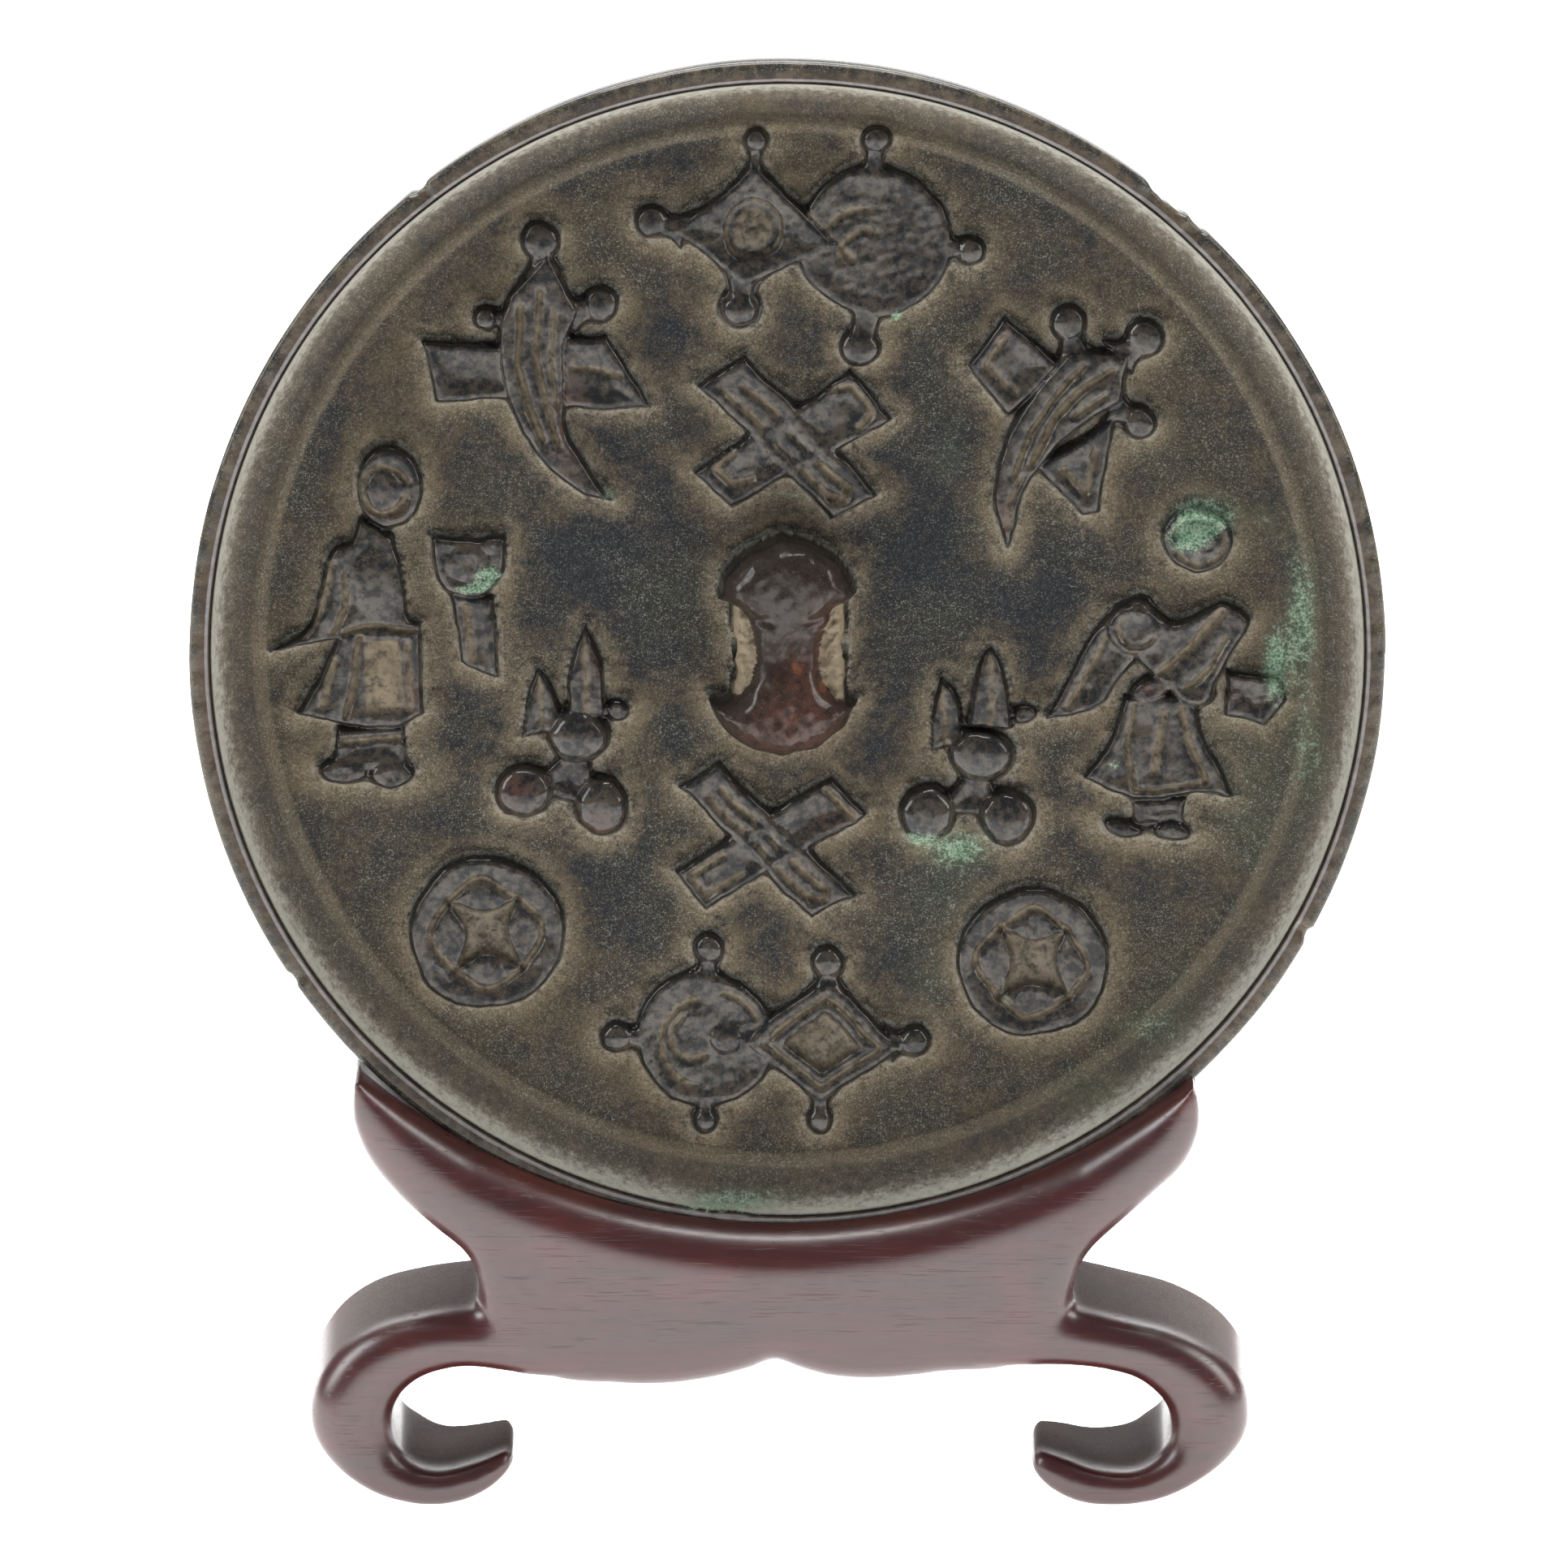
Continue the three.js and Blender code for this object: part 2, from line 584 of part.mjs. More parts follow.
function leftFoot() {
  return band(
    [
      [-14, 15.9, -13.5, 9.2],
      [-18.5, 14.9, -17, 9.2],
      [-21.9, 14.3, -19.7, 9.6],
      [-25.2, 13.8, -22.5, 9.9],
      [-28.7, 12.9, -25, 9.4],
      [-31.3, 11.2, -26.6, 8.4],
      [-33, 8.7, -27.5, 7.1],
      [-33.5, 6.3, -27.7, 5.8],
      [-33, 4.2, -27.5, 4.7],
      [-31.4, 2.2, -27, 3.6],
      [-29.1, 0.7, -26.1, 2.8],
      [-26.7, 0, -25, 2.4],
      [-24.6, -0.15, -23.9, 2.4],
      [-22.6, 0.2, -22.7, 2.7],
      [-20.9, 1, -21.4, 3.1],
      [-19.7, 2, -20.3, 3.5],
      [-19.1, 2.8, -19.5, 3.8],
      [-18.95, 3.2, -19.1, 3.7],
    ],
    2,
    true,
  );
}

function rightFoot() {
  return band(
    [
      [14, 15.9, 14, 9.9],
      [18, 15, 17.5, 10],
      [21.4, 14.2, 20.2, 10],
      [24.6, 13.4, 22.8, 9.8],
      [28, 12.5, 25.1, 9.2],
      [31, 10.9, 26.7, 8.1],
      [32.9, 8.7, 27.6, 6.9],
      [33.4, 6.4, 27.85, 5.6],
      [33, 4.5, 27.7, 4.6],
      [31.5, 2.7, 27.2, 3.6],
      [29.1, 1.1, 26.3, 2.8],
      [26.8, 0.2, 25.2, 2.3],
      [24.2, -0.15, 23.6, 2.3],
      [21.6, 0, 22, 2.6],
      [19.8, 0.7, 20.7, 3.1],
      [18.6, 1.6, 19.4, 3.5],
      [17.95, 2.5, 18.5, 3.7],
      [17.9, 3, 18.1, 3.5],
    ],
    2,
    true,
  );
}

// The mirror's groove: a leaning disc a little larger than the mirror, in the mirror's own plane.
function groove() {
  const thickness = edgeThickness + backCrown + ridgeGap + grooveGap;
  const radius = mirrorRadius + grooveGap;
  const geometry = new THREE.CylinderGeometry(radius, radius, thickness, roundSteps);
  geometry.rotateX(Math.PI / 2);
  geometry.translate(0, 0, ridgeGap - thickness / 2);
  geometry.rotateX(Math.PI / 2 - lean);
  geometry.translate(...mirrorCentre);
  return solidFrom(geometry);
}

function stand() {
  const carved = join([cradle(), leftFoot(), rightFoot()]).translate([standX, 0, 0]);
  const below = new THREE.BoxGeometry(100, 40, 10);
  below.translate(0, 0, -5);
  return carved.subtract(groove()).subtract(solidFrom(below));
}

// ---- The finished object ----
const bronze = new THREE.MeshStandardMaterial({ color: 0x4a4438, roughness: 0.6, metalness: 0.7 });
const rosewood = new THREE.MeshStandardMaterial({ color: 0x4a1a12, roughness: 0.3, metalness: 0 });

const object = new THREE.Group();

const mirrorMesh = new THREE.Mesh(geometryFrom(mirror()), bronze);
mirrorMesh.name = "mirror";
mirrorMesh.rotation.x = Math.PI / 2 - lean;
mirrorMesh.position.set(...mirrorCentre);
object.add(mirrorMesh);

const standMesh = new THREE.Mesh(geometryFrom(stand()), rosewood);
standMesh.name = "stand";
object.add(standMesh);

export default object;
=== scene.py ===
import math
import bpy
import numpy as np
from mathutils import Matrix, Vector


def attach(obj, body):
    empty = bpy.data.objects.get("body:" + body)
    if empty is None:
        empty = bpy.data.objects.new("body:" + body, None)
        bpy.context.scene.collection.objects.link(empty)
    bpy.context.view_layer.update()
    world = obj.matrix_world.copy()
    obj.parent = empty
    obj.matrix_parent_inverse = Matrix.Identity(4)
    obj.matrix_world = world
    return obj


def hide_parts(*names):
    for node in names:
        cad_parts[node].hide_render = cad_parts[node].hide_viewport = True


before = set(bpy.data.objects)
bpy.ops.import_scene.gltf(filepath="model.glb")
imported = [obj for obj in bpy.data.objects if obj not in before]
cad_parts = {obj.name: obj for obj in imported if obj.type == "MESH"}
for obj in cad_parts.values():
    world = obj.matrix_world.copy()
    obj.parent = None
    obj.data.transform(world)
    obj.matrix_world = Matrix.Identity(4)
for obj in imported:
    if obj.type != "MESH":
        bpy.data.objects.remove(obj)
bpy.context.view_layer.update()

mm = 0.001  # everything below is in millimetres until it becomes a mesh


# Camera and light. The camera looks a little down on the relief side.
view = {"aim": (-0.245, 0, 51.18), "elevation": 15, "distance": 2480, "lens": 800, "nearest": 0.01}

studio = {
    "floorSize": 5000.0, "floorColor": (0.88, 0.88, 0.88), "floorRoughness": 0.85,
    "floorGlow": 1.25,  # the floor is a lit white table, so no shadow shows on it
    "fadeFar": -740.0, "fadeNear": -240.0, "frontDim": 0.4,  # in front its light fades to this share
    "skyColor": (0.80, 0.84, 0.90), "skyStrength": 0.21,
    # name: (place, aim, width, height, watts, colour)
    "softboxes": {
        "overheadBox": ((0, 100, 620), (0, 20, 50), 420, 300, 4.6, (1.0, 0.99, 0.97)),
        "leftBox": ((-520, -60, 330), (0, 0, 55), 260, 420, 2.0, (0.97, 0.98, 1.0)),
        "rightBox": ((520, -40, 330), (0, 0, 55), 260, 420, 1.6, (1.0, 0.99, 0.97)),
        "backBox": ((0, 560, 330), (0, 0, 60), 800, 300, 3.0, (1.0, 1.0, 1.0)),
    },
}


def addCamera():
    data = bpy.data.cameras.new("viewCamera")
    data.lens = view["lens"]
    data.clip_start = view["nearest"]
    camera = bpy.data.objects.new("viewCamera", data)
    bpy.context.scene.collection.objects.link(camera)
    tilt = math.radians(view["elevation"])
    aim = Vector(view["aim"]) * mm
    camera.location = aim + Vector((0, -math.cos(tilt), math.sin(tilt))) * view["distance"] * mm
    camera.rotation_euler = (math.pi / 2 - tilt, 0, 0)
    bpy.context.scene.camera = camera
    bpy.context.scene.view_settings.view_transform = "Standard"


def addSoftbox(name, place, aim, width, height, watts, color):
    data = bpy.data.lights.new(name, "AREA")
    data.shape = "RECTANGLE"
    data.size = width * mm
    data.size_y = height * mm
    data.energy = watts
    data.color = color
    box = bpy.data.objects.new(name, data)
    box.location = Vector(place) * mm
    box.rotation_euler = (Vector(aim) - Vector(place)).to_track_quat("-Z", "Y").to_euler()
    bpy.context.scene.collection.objects.link(box)


def setInputs(node, **values):
    for name, value in values.items():
        node.inputs[name.replace("_", " ")].default_value = value


def addStudio():
    world = bpy.data.worlds.new("studioSky")
    bpy.context.scene.world = world
    world.use_nodes = True
    setInputs(world.node_tree.nodes["Background"], Color=(*studio["skyColor"], 1),
              Strength=studio["skyStrength"])
    for name, box in studio["softboxes"].items():
        addSoftbox(name, *box)
    bpy.ops.mesh.primitive_plane_add(size=studio["floorSize"] * mm)
    floor = bpy.context.object
    floor.name = "paleFloor"
    paper = bpy.data.materials.new("palePaper")
    paper.use_nodes = True
    nodes, links = paper.node_tree.nodes, paper.node_tree.links
    surface = nodes["Principled BSDF"]
    setInputs(surface, Base_Color=(*studio["floorColor"], 1), Roughness=studio["floorRoughness"],
              Emission_Strength=studio["floorGlow"])
    place = nodes.new("ShaderNodeTexCoord")
    apart = nodes.new("ShaderNodeSeparateXYZ")
    fade = nodes.new("ShaderNodeMapRange")
    setInputs(fade, From_Min=studio["fadeFar"] * mm, From_Max=studio["fadeNear"] * mm,
              To_Min=studio["frontDim"])
    links.new(place.outputs["Object"], apart.inputs[0])
    links.new(apart.outputs["Y"], fade.inputs["Value"])
    links.new(fade.outputs[0], surface.inputs["Emission Color"])
    floor.data.materials.append(paper)


bpy.ops.object.select_all(action="DESELECT")
addCamera()
addStudio()
print("studio ready")


# Small helpers for shaping.
def activate(obj):
    bpy.ops.object.select_all(action="DESELECT")
    obj.select_set(True)
    bpy.context.view_layer.objects.active = obj


def applyModifier(obj, kind, **settings):
    activate(obj)
    modifier = obj.modifiers.new(kind.lower(), kind)
    for name, value in settings.items():
        setattr(modifier, name, value)
    bpy.ops.object.modifier_apply(modifier=modifier.name)


def meshPiece(name, points, faces):
    mesh = bpy.data.meshes.new(name)
    mesh.from_pydata([tuple(p) for p in points], [], faces)
    mesh.update()
    piece = bpy.data.objects.new(name, mesh)
    bpy.context.scene.collection.objects.link(piece)
    return piece


def recalculateNormals(obj):
    activate(obj)
    bpy.ops.object.mode_set(mode="EDIT")
    bpy.ops.mesh.select_all(action="SELECT")
    bpy.ops.mesh.normals_make_consistent(inside=False)
    bpy.ops.object.mode_set(mode="OBJECT")


def vertexArray(obj, what="co"):
    values = np.zeros(len(obj.data.vertices) * 3)
    source = obj.data.vertices if what == "co" else obj.data.vertex_normals
    source.foreach_get("co" if what == "co" else "vector", values)
    return values.reshape(-1, 3)


def addAttribute(obj, name, values):
    attribute = obj.data.attributes.new(name, "FLOAT", "POINT")
    attribute.data.foreach_set("value", np.ascontiguousarray(values, dtype=np.float32))


def spline(points, stepsBetween):  # a smooth curve through all the points
    points = np.array(points, float)
    padded = np.vstack([2 * points[0] - points[1], points, 2 * points[-1] - points[-2]])
    out = []
    for i in range(len(points) - 1):
        a, b, c, d = padded[i:i + 4]
        for k in range(stepsBetween):
            t = k / stepsBetween
            out.append(0.5 * (2 * b + (c - a) * t + (2 * a - 5 * b + 4 * c - d) * t ** 2
                              + (3 * b - a - 3 * c + d) * t ** 3))
    out.append(points[-1])
    return np.array(out)


def ease(x, low, high):
    t = np.clip((x - low) / (high - low), 0, 1)
    return t * t * (3 - 2 * t)


def ripple(x, y, wave, seed, count=7):  # soft waves from all sides, about one high
    random = np.random.default_rng(seed)
    total = np.zeros_like(x)
    for angle, phase, stretch in zip(random.uniform(0, 2 * math.pi, count),
                                     random.uniform(0, 2 * math.pi, count),
                                     random.uniform(0.7, 1.5, count)):
        k = 2 * math.pi / (wave * stretch)
        total += np.sin(k * (x * math.cos(angle) + y * math.sin(angle)) + phase)
    return total / math.sqrt(count)


# The rosewood stand: three bands with rounded edges, joined, grooved and rubbed smooth.
stand = {
    "centreX": -0.5, "front": -8.25, "back": 8.25,
    "lipRadius": 45.6, "lipBottom": 20.2, "stationSteps": 5, "cornerSteps": 8,
    "edgeRound": 2.1, "lipRound": 3.2, "fullestRound": 0.47,  # the last is a share of a band's width
    "archRound": 4.2, "archWidths": (12, 18),  # the lower edge is rounder over the arch's half width
    "footRounds": (2.3, 2.3, 2.6, 2.9), "footHeights": (0.5, 3, 9, 12),
    "toeShare": 0.26, "toeReach": 3.5, "toeFullness": 0.98,  # the round in front of each foot's tip
    "heelShares": (0.6, 0.7, 0.8, 0.94, 1), "heelReaches": (0, 2.4, 4.2, 6.3, 8.6),  # and behind it
    "voxel": 0.28, "rubbing": 12, "softAngle": 40,
    "grooveRadius": 42.85, "grooveFront": 0.3, "grooveBack": -5.65,
}
mirrorLean = math.radians(3.4)
mirrorCentre = Vector((0, -2.45, 61.5))


def lipHeight(x):
    return stand["lipBottom"] + stand["lipRadius"] - math.sqrt(stand["lipRadius"] ** 2 - x * x)


def onLip(x, lowerX, lowerZ, narrow=0.0):
    return (x, lipHeight(x), lowerX, lowerZ, narrow)


# Each station: place on the lip, place on the lower edge, and how much narrower the back is.
cradleStations = [onLip(*station) for station in (
    (-30.1, -30.3, 31.2, 0.4), (-29.3, -30.4, 29, 0.4), (-28, -30.1, 27.3, 0.35),
    (-26.3, -29.1, 25, 0.25), (-24.3, -27, 22.4, 0.1), (-22.6, -24.6, 20.2),
    (-21.3, -22.6, 18.5), (-20.3, -21.6, 16.7), (-19.3, -21.3, 14.3), (-17.8, -20, 11),
    (-15.5, -16, 8.9), (-12, -12, 8.2), (-8.5, -8.5, 8.1), (-5, -5, 8.55),
    (-2.4, -2.2, 9.3), (-0.4, -0.4, 9.95), (1.6, 1.4, 9.3), (4, 4, 8.65),
    (7.5, 7.5, 8.55), (11.5, 11.5, 9), (15.5, 16, 9.7), (17.8, 19.2, 11.4),
    (19.3, 20.6, 14.4), (20.3, 21.2, 17), (21.3, 22.3, 18.8), (22.7, 24.2, 20.6),
    (24.4, 26.6, 22.8, 0.1), (26, 28.7, 24.9, 0.25), (27.4, 29.7, 27.3, 0.35),
    (28.4, 29.8, 29.4, 0.4), (29.1, 29.3, 31.3, 0.4),
)]
leftFootStations = [
    (-14, 15.9, -13.5, 9.2), (-18.5, 14.9, -17, 9.2), (-21.9, 14.3, -19.7, 9.6),
    (-25.2, 13.8, -22.5, 9.9), (-28.7, 12.9, -25, 9.4), (-31.3, 11.2, -26.6, 8.4),
    (-33, 8.7, -27.5, 7.1), (-33.5, 6.3, -27.7, 5.8), (-33, 4.2, -27.5, 4.7), (-31.4, 2.2, -27, 3.6),
    (-29.1, 0.7, -26.1, 2.8), (-26.7, 0, -25, 2.4), (-24.6, -0.15, -23.9, 2.4),
    (-22.6, 0.2, -22.7, 2.7), (-20.9, 1, -21.4, 3.1), (-19.7, 2, -20.3, 3.5),
    (-19.1, 2.8, -19.5, 3.8), (-18.95, 3.2, -19.1, 3.7),
]
rightFootStations = [
    (14, 15.9, 14, 9.9), (18, 15, 17.5, 10), (21.4, 14.2, 20.2, 10),
    (24.6, 13.4, 22.8, 9.8), (28, 12.5, 25.1, 9.2), (31, 10.9, 26.7, 8.1),
    (32.9, 8.7, 27.6, 6.9), (33.4, 6.4, 27.85, 5.6), (33, 4.5, 27.7, 4.6), (31.5, 2.7, 27.2, 3.6),
    (29.1, 1.1, 26.3, 2.8), (26.8, 0.2, 25.2, 2.3), (24.2, -0.15, 23.6, 2.3), (21.6, 0, 22, 2.6),
    (19.8, 0.7, 20.7, 3.1), (18.6, 1.6, 19.4, 3.5), (17.95, 2.5, 18.5, 3.7), (17.9, 3, 18.1, 3.5),
]


def loftBand(name, stations, isFoot):
    rows = spline([s[:4] for s in stations], stand["stationSteps"])
    share = np.linspace(0, 1, len(rows))
    narrows = np.interp(share, np.linspace(0, 1, len(stations)),
                        [s[4] if len(s) > 4 else 0 for s in stations])
    toe = stand["toeShare"]
    noses = 1 - np.sqrt(1 - (np.clip(share - (1 - toe), 0, toe) / toe) ** 2 * stand["toeFullness"])
    heels = np.interp(share, stand["heelShares"], stand["heelReaches"])
    steps = stand["cornerSteps"]
    points = []
    for (ax, az, bx, bz), narrow, nose, heel in zip(rows, narrows, noses * isFoot, heels * isFoot):
        width = math.hypot(bx - ax, bz - az)
        front, back = stand["front"] + stand["toeReach"] * nose, stand["back"] - heel
        if isFoot:
            lowerRound = stand["edgeRound"]
            upperRound = np.interp(az, stand["footHeights"], stand["footRounds"])
        else:
            rounds = (stand["archRound"], stand["edgeRound"])
            lowerRound = np.interp(abs(bx), stand["archWidths"], rounds)
            upperRound = stand["lipRound"]
        for corner in range(4):
            atLower = corner in (1, 2)
            atBack = corner >= 2
            radius = min(lowerRound if atLower else upperRound, stand["fullestRound"] * width)
            for k in range(steps):
                turn = (corner + k / (steps - 1)) * math.pi / 2
                across = (width - radius - (narrow * width if atBack else 0)) if atLower else radius
                s = (across - math.cos(turn) * radius) / width
                y = (back - radius if atBack else front + radius) - math.sin(turn) * radius
                x = ax + (bx - ax) * s + stand["centreX"]
                points.append((x * mm, y * mm, (az + (bz - az) * s) * mm))
    ring = 4 * steps
    faces = []
    for i in range(len(rows) - 1):
        for k in range(ring):
            n = (k + 1) % ring
            faces.append((i * ring + k, (i + 1) * ring + k, (i + 1) * ring + n, i * ring + n))
    faces.append(tuple(range(ring)))
    faces.append(tuple(reversed(range((len(rows) - 1) * ring, len(rows) * ring))))
    band = meshPiece(name, points, faces)
    recalculateNormals(band)
    return band


def addGrooveCutter():
    depth = stand["grooveFront"] - stand["grooveBack"]
    bpy.ops.mesh.primitive_cylinder_add(vertices=256, radius=stand["grooveRadius"] * mm,
                                        depth=depth * mm)
    cutter = bpy.context.object
    middle = (stand["grooveFront"] + stand["grooveBack"]) / 2
    cutter.data.transform(Matrix.Translation((0, 0, middle * mm)))
    cutter.data.transform(mirrorPlace())
    return cutter


def mirrorPlace():  # from the mirror's own plane, x right, y up and z to the front, to its place
    turn = Matrix.Rotation(math.pi / 2 - mirrorLean, 4, "X")
    return Matrix.Translation(mirrorCentre * mm) @ turn


def subtractFrom(obj, cutter):
    applyModifier(obj, "BOOLEAN", operation="DIFFERENCE", solver="EXACT", object=cutter)
    bpy.data.objects.remove(cutter)


necks = {
    "places": ((-21.5, -8, 14.2), (20.6, -8, 14.2)), "depthScale": 0.8, "heightScale": 0.7,
    "reach": 4.8, "fade": 3.2, "shares": (0.25, 0.5, 0.75, 1.0), "rubbing": 60,
}


def softenNecks(obj):  # where the feet run into the front, the carver rounded the corner most
    x, y, z = (vertexArray(obj) / mm).T
    group = obj.vertex_groups.new(name="necks")
    for right, back, up in necks["places"]:
        away = np.sqrt((x - right) ** 2 + ((y - back) * necks["depthScale"]) ** 2
                       + ((z - up) * necks["heightScale"]) ** 2)
        for share in necks["shares"]:
            near = np.nonzero(away < necks["reach"] - necks["fade"] * share)[0]
            group.add(near.tolist(), share, "REPLACE")
    applyModifier(obj, "SMOOTH", factor=0.5, iterations=necks["rubbing"], vertex_group="necks")
    obj.vertex_groups.clear()


def carveStand():
    cradle = loftBand("rosewoodStand", cradleStations, False)
    leftFoot = loftBand("leftFoot", leftFootStations, True)
    rightFoot = loftBand("rightFoot", rightFootStations, True)
    activate(cradle)
    leftFoot.select_set(True)
    rightFoot.select_set(True)
    bpy.ops.object.join()
    applyModifier(cradle, "REMESH", mode="VOXEL", voxel_size=stand["voxel"] * mm)
    applyModifier(cradle, "SMOOTH", factor=0.5, iterations=stand["rubbing"])
    softenNecks(cradle)
    subtractFrom(cradle, addGrooveCutter())
    bpy.ops.mesh.primitive_cube_add(size=100 * mm, location=(0, 0, -50 * mm))
    subtractFrom(cradle, bpy.context.object)  # the feet end flat on the ground
    activate(cradle)
    bpy.ops.object.shade_smooth_by_angle(angle=math.radians(stand["softAngle"]))
    return cradle


standPiece = carveStand()
print("stand carved:", len(standPiece.data.polygons), "faces")


# The bronze mirror, in its own plane first: x right, y up, z = 0 at the top of the rim.
mirror = {
    "radius": 42.5, "thickness": 4.8, "ground": -3.2,
    "crown": 0.5, "backRadius": 42,  # the back is slightly domed over this radius
    "ridgeRadius": 37.6, "ridgeHeight": 0.35, "ridgeWidth": 0.55,
    "angles": 1440, "ringStep": 0.2, "fieldRadius": 38.5, "triangles": 190000,
    "relief": 0.9, "low": 0.66, "wall": 0.5, "foot": 0.12,  # height and side of an emblem
    "dish": 0.22, "dishEdge": (0.45, 1.6), "roughEdge": (0.3, 0.9),  # sunk and pitted inside its edge
    "skirt": 0.25, "skirtReach": 0.8, "crowd": 0.3,  # dirt round it, more where emblems crowd
    "deepCut": 0.6, "deepDust": 0.6,  # deeper cuts catch less dust
    "wobble": 0.10, "tremble": 0.03, "margin": 3.5, "farAway": 9.0,  # of the emblems' outlines
}


def polygon(points):
    corners = np.array(points, float)

    def distance(u, v):
        nearest = np.full(u.shape, 1e9)
        inside = np.zeros(u.shape, bool)
        for (ax, ay), (bx, by) in zip(corners, np.roll(corners, -1, axis=0)):
            ex, ey = bx - ax, by - ay
            t = np.clip(((u - ax) * ex + (v - ay) * ey) / (ex * ex + ey * ey + 1e-12), 0, 1)
            nearest = np.minimum(nearest, (u - ax - ex * t) ** 2 + (v - ay - ey * t) ** 2)
            crosses = (ay > v) != (by > v)
            inside ^= crosses & (u < ax + (v - ay) * ex / (ey if ey else 1e-12))
        return np.where(inside, -1, 1) * np.sqrt(nearest)

    return distance, (*corners.min(0), *corners.max(0))


def ellipse(x, y, halfWidth, halfHeight, turn=0.0):
    small = min(halfWidth, halfHeight)

    def distance(u, v):
        c, s = math.cos(turn), math.sin(turn)
        du, dv = (u - x) * c + (v - y) * s, (v - y) * c - (u - x) * s
        return (np.sqrt((du / halfWidth) ** 2 + (dv / halfHeight) ** 2) - 1) * small

    reach = max(halfWidth, halfHeight)
    return distance, (x - reach, y - reach, x + reach, y + reach)


def stroke(points, width):
    line = np.array(points, float)

    def distance(u, v):
        nearest = np.full(u.shape, 1e9)
        for (ax, ay), (bx, by) in zip(line[:-1], line[1:]):
            ex, ey = bx - ax, by - ay
            t = np.clip(((u - ax) * ex + (v - ay) * ey) / (ex * ex + ey * ey), 0, 1)
            nearest = np.minimum(nearest, (u - ax - ex * t) ** 2 + (v - ay - ey * t) ** 2)
        return np.sqrt(nearest) - width / 2

    return distance, (*(line.min(0) - width), *(line.max(0) + width))


def curved(*runs):  # each further run is a smooth curve on from the last point of the run before
    points, last = [], []
    for run in runs:
        run = [*last, *run]
        last = run[-1:]
        points.extend(spline(run, 4)[:-1] if len(run) > 2 else run[:1])
    return points


layers = []  # of the relief: (shape, height, dish, roughness, cuts, domes)


def plate(shape, height=None, dish=None, rough=0.0, cuts=(), domes=()):
    if not isinstance(shape, tuple):
        shape = polygon(shape)
    dish = mirror["dish"] if dish is None else dish
    layers.append((shape, height or mirror["relief"], dish, rough, cuts, domes))


def disc(x, y, radius, height=None, **more):
    plate(ellipse(x, y, radius, radius), height, **more)


def oval(x, y, halfWidth, halfHeight, height=None, turn=0.0, **more):
    plate(ellipse(x, y, halfWidth, halfHeight, turn), height, **more)


def ball(x, y, halfWidth, halfHeight, height):  # its dish below zero marks it as a full round
    shape = ellipse(x, y, halfWidth, halfHeight)
    layers.append((shape, height, -min(halfWidth, halfHeight), 0.0, (), ()))


def tassel(fromX, fromY, x, y, radius):  # a stem that widens where it leaves its emblem
    length = math.hypot(x - fromX, y - fromY)
    alongX, alongY = (x - fromX) / length, (y - fromY) / length
    funnel = ((-0.12, 1.25), (0.15, 0.85), (0.5, 0.6), (1, 0.62))  # share of the length, half width
    outline = []
    for side, stations in ((1, funnel), (-1, funnel[::-1])):
        edge = [(fromX + alongX * length * share - side * alongY * radius * half,
                 fromY + alongY * length * share + side * alongX * radius * half)
                for share, half in stations]
        outline.extend(spline(edge, 4)[:-1])
    plate(outline, mirror["low"], 0.0)
    ball(x, y, radius * 1.08, radius * 1.08, 1.05)


def measureRelief(u, v):
    wobble, tremble, margin, crowding = (mirror[k] for k in ("wobble", "tremble", "margin", "crowd"))
    uw = u + wobble * ripple(u, v, 5.5, 3) + tremble * ripple(u, v, 1.3, 4)
    vw = v + wobble * ripple(u, v, 5.0, 5) + tremble * ripple(u, v, 1.2, 6)
    pitted = ripple(u, v, 0.8, 7, 11)
    height, caught, pearly = np.zeros((3, *u.shape))
    crowd = np.full(u.shape, math.exp(-mirror["farAway"] / crowding))
    for (shape, box), top, dish, rough, cuts, domes in layers:
        near = np.nonzero((uw > box[0] - margin) & (uw < box[2] + margin)
                          & (vw > box[1] - margin) & (vw < box[3] + margin))[0]
        if not len(near):
            continue
        x, y = uw[near], vw[near]
        d = shape(x, y)
        if dish < 0:  # a pearl: a full round with a steep foot
            t = np.clip((d - dish) / -dish, 0, 1)
            own = top * (1 - t ** 3) ** 0.5 * (d < 0)
        else:
            t = np.clip(-d / mirror["wall"] + mirror["foot"], 0, 1)
            own = top * np.sqrt(1 - (1 - t) ** 2)
            own -= dish * ease(-d, *mirror["dishEdge"])
            own += rough * pitted[near] * ease(-d, *mirror["roughEdge"])
        inside = own > 0
        dust = np.zeros(d.shape)
        for (bulge, _), rise, soft in domes:
            own += rise * (1 - np.clip(1 + bulge(x, y) / soft, 0, 1) ** 2) * inside
        for (sunk, _), depth, slope in cuts:
            amount = ease(-sunk(x, y), -slope, slope) * inside
            own -= depth * amount
            dust = np.maximum(dust, amount * (mirror["deepDust"] if depth > mirror["deepCut"] else 1))
        higher = own > height[near]
        caught[near] = np.where(higher, dust, caught[near])
        pearly[near] = np.where(higher, float(dish < 0), pearly[near])
        height[near] = np.maximum(height[near], own)
        crowd[near] += np.exp(-np.maximum(d, -3) / crowding)
    return height, -crowding * np.log(crowd), caught, pearly


def cut(points, width=0.42, depth=0.42, slope=0.26):
    return stroke(points, width), depth, slope


def hollow(shape, depth, slope=0.24):  # a sunk area
    return shape, depth, slope


def swell(shape, rise, soft=0.9):  # a raised one
    return shape, rise, soft


def between(a, b, share):
    return (a[0] + (b[0] - a[0]) * share, a[1] + (b[1] - a[1]) * share)


def arc(x, y, radius, start, end, steps=12):
    angles = np.radians(np.linspace(start, end, steps))
    return [(x + radius * math.cos(a), y + radius * math.sin(a)) for a in angles]


def onBar(corners, along, across):  # a place on a four-cornered bar
    a, b, c, d = corners
    return between(between(a, b, across), between(d, c, across), along)


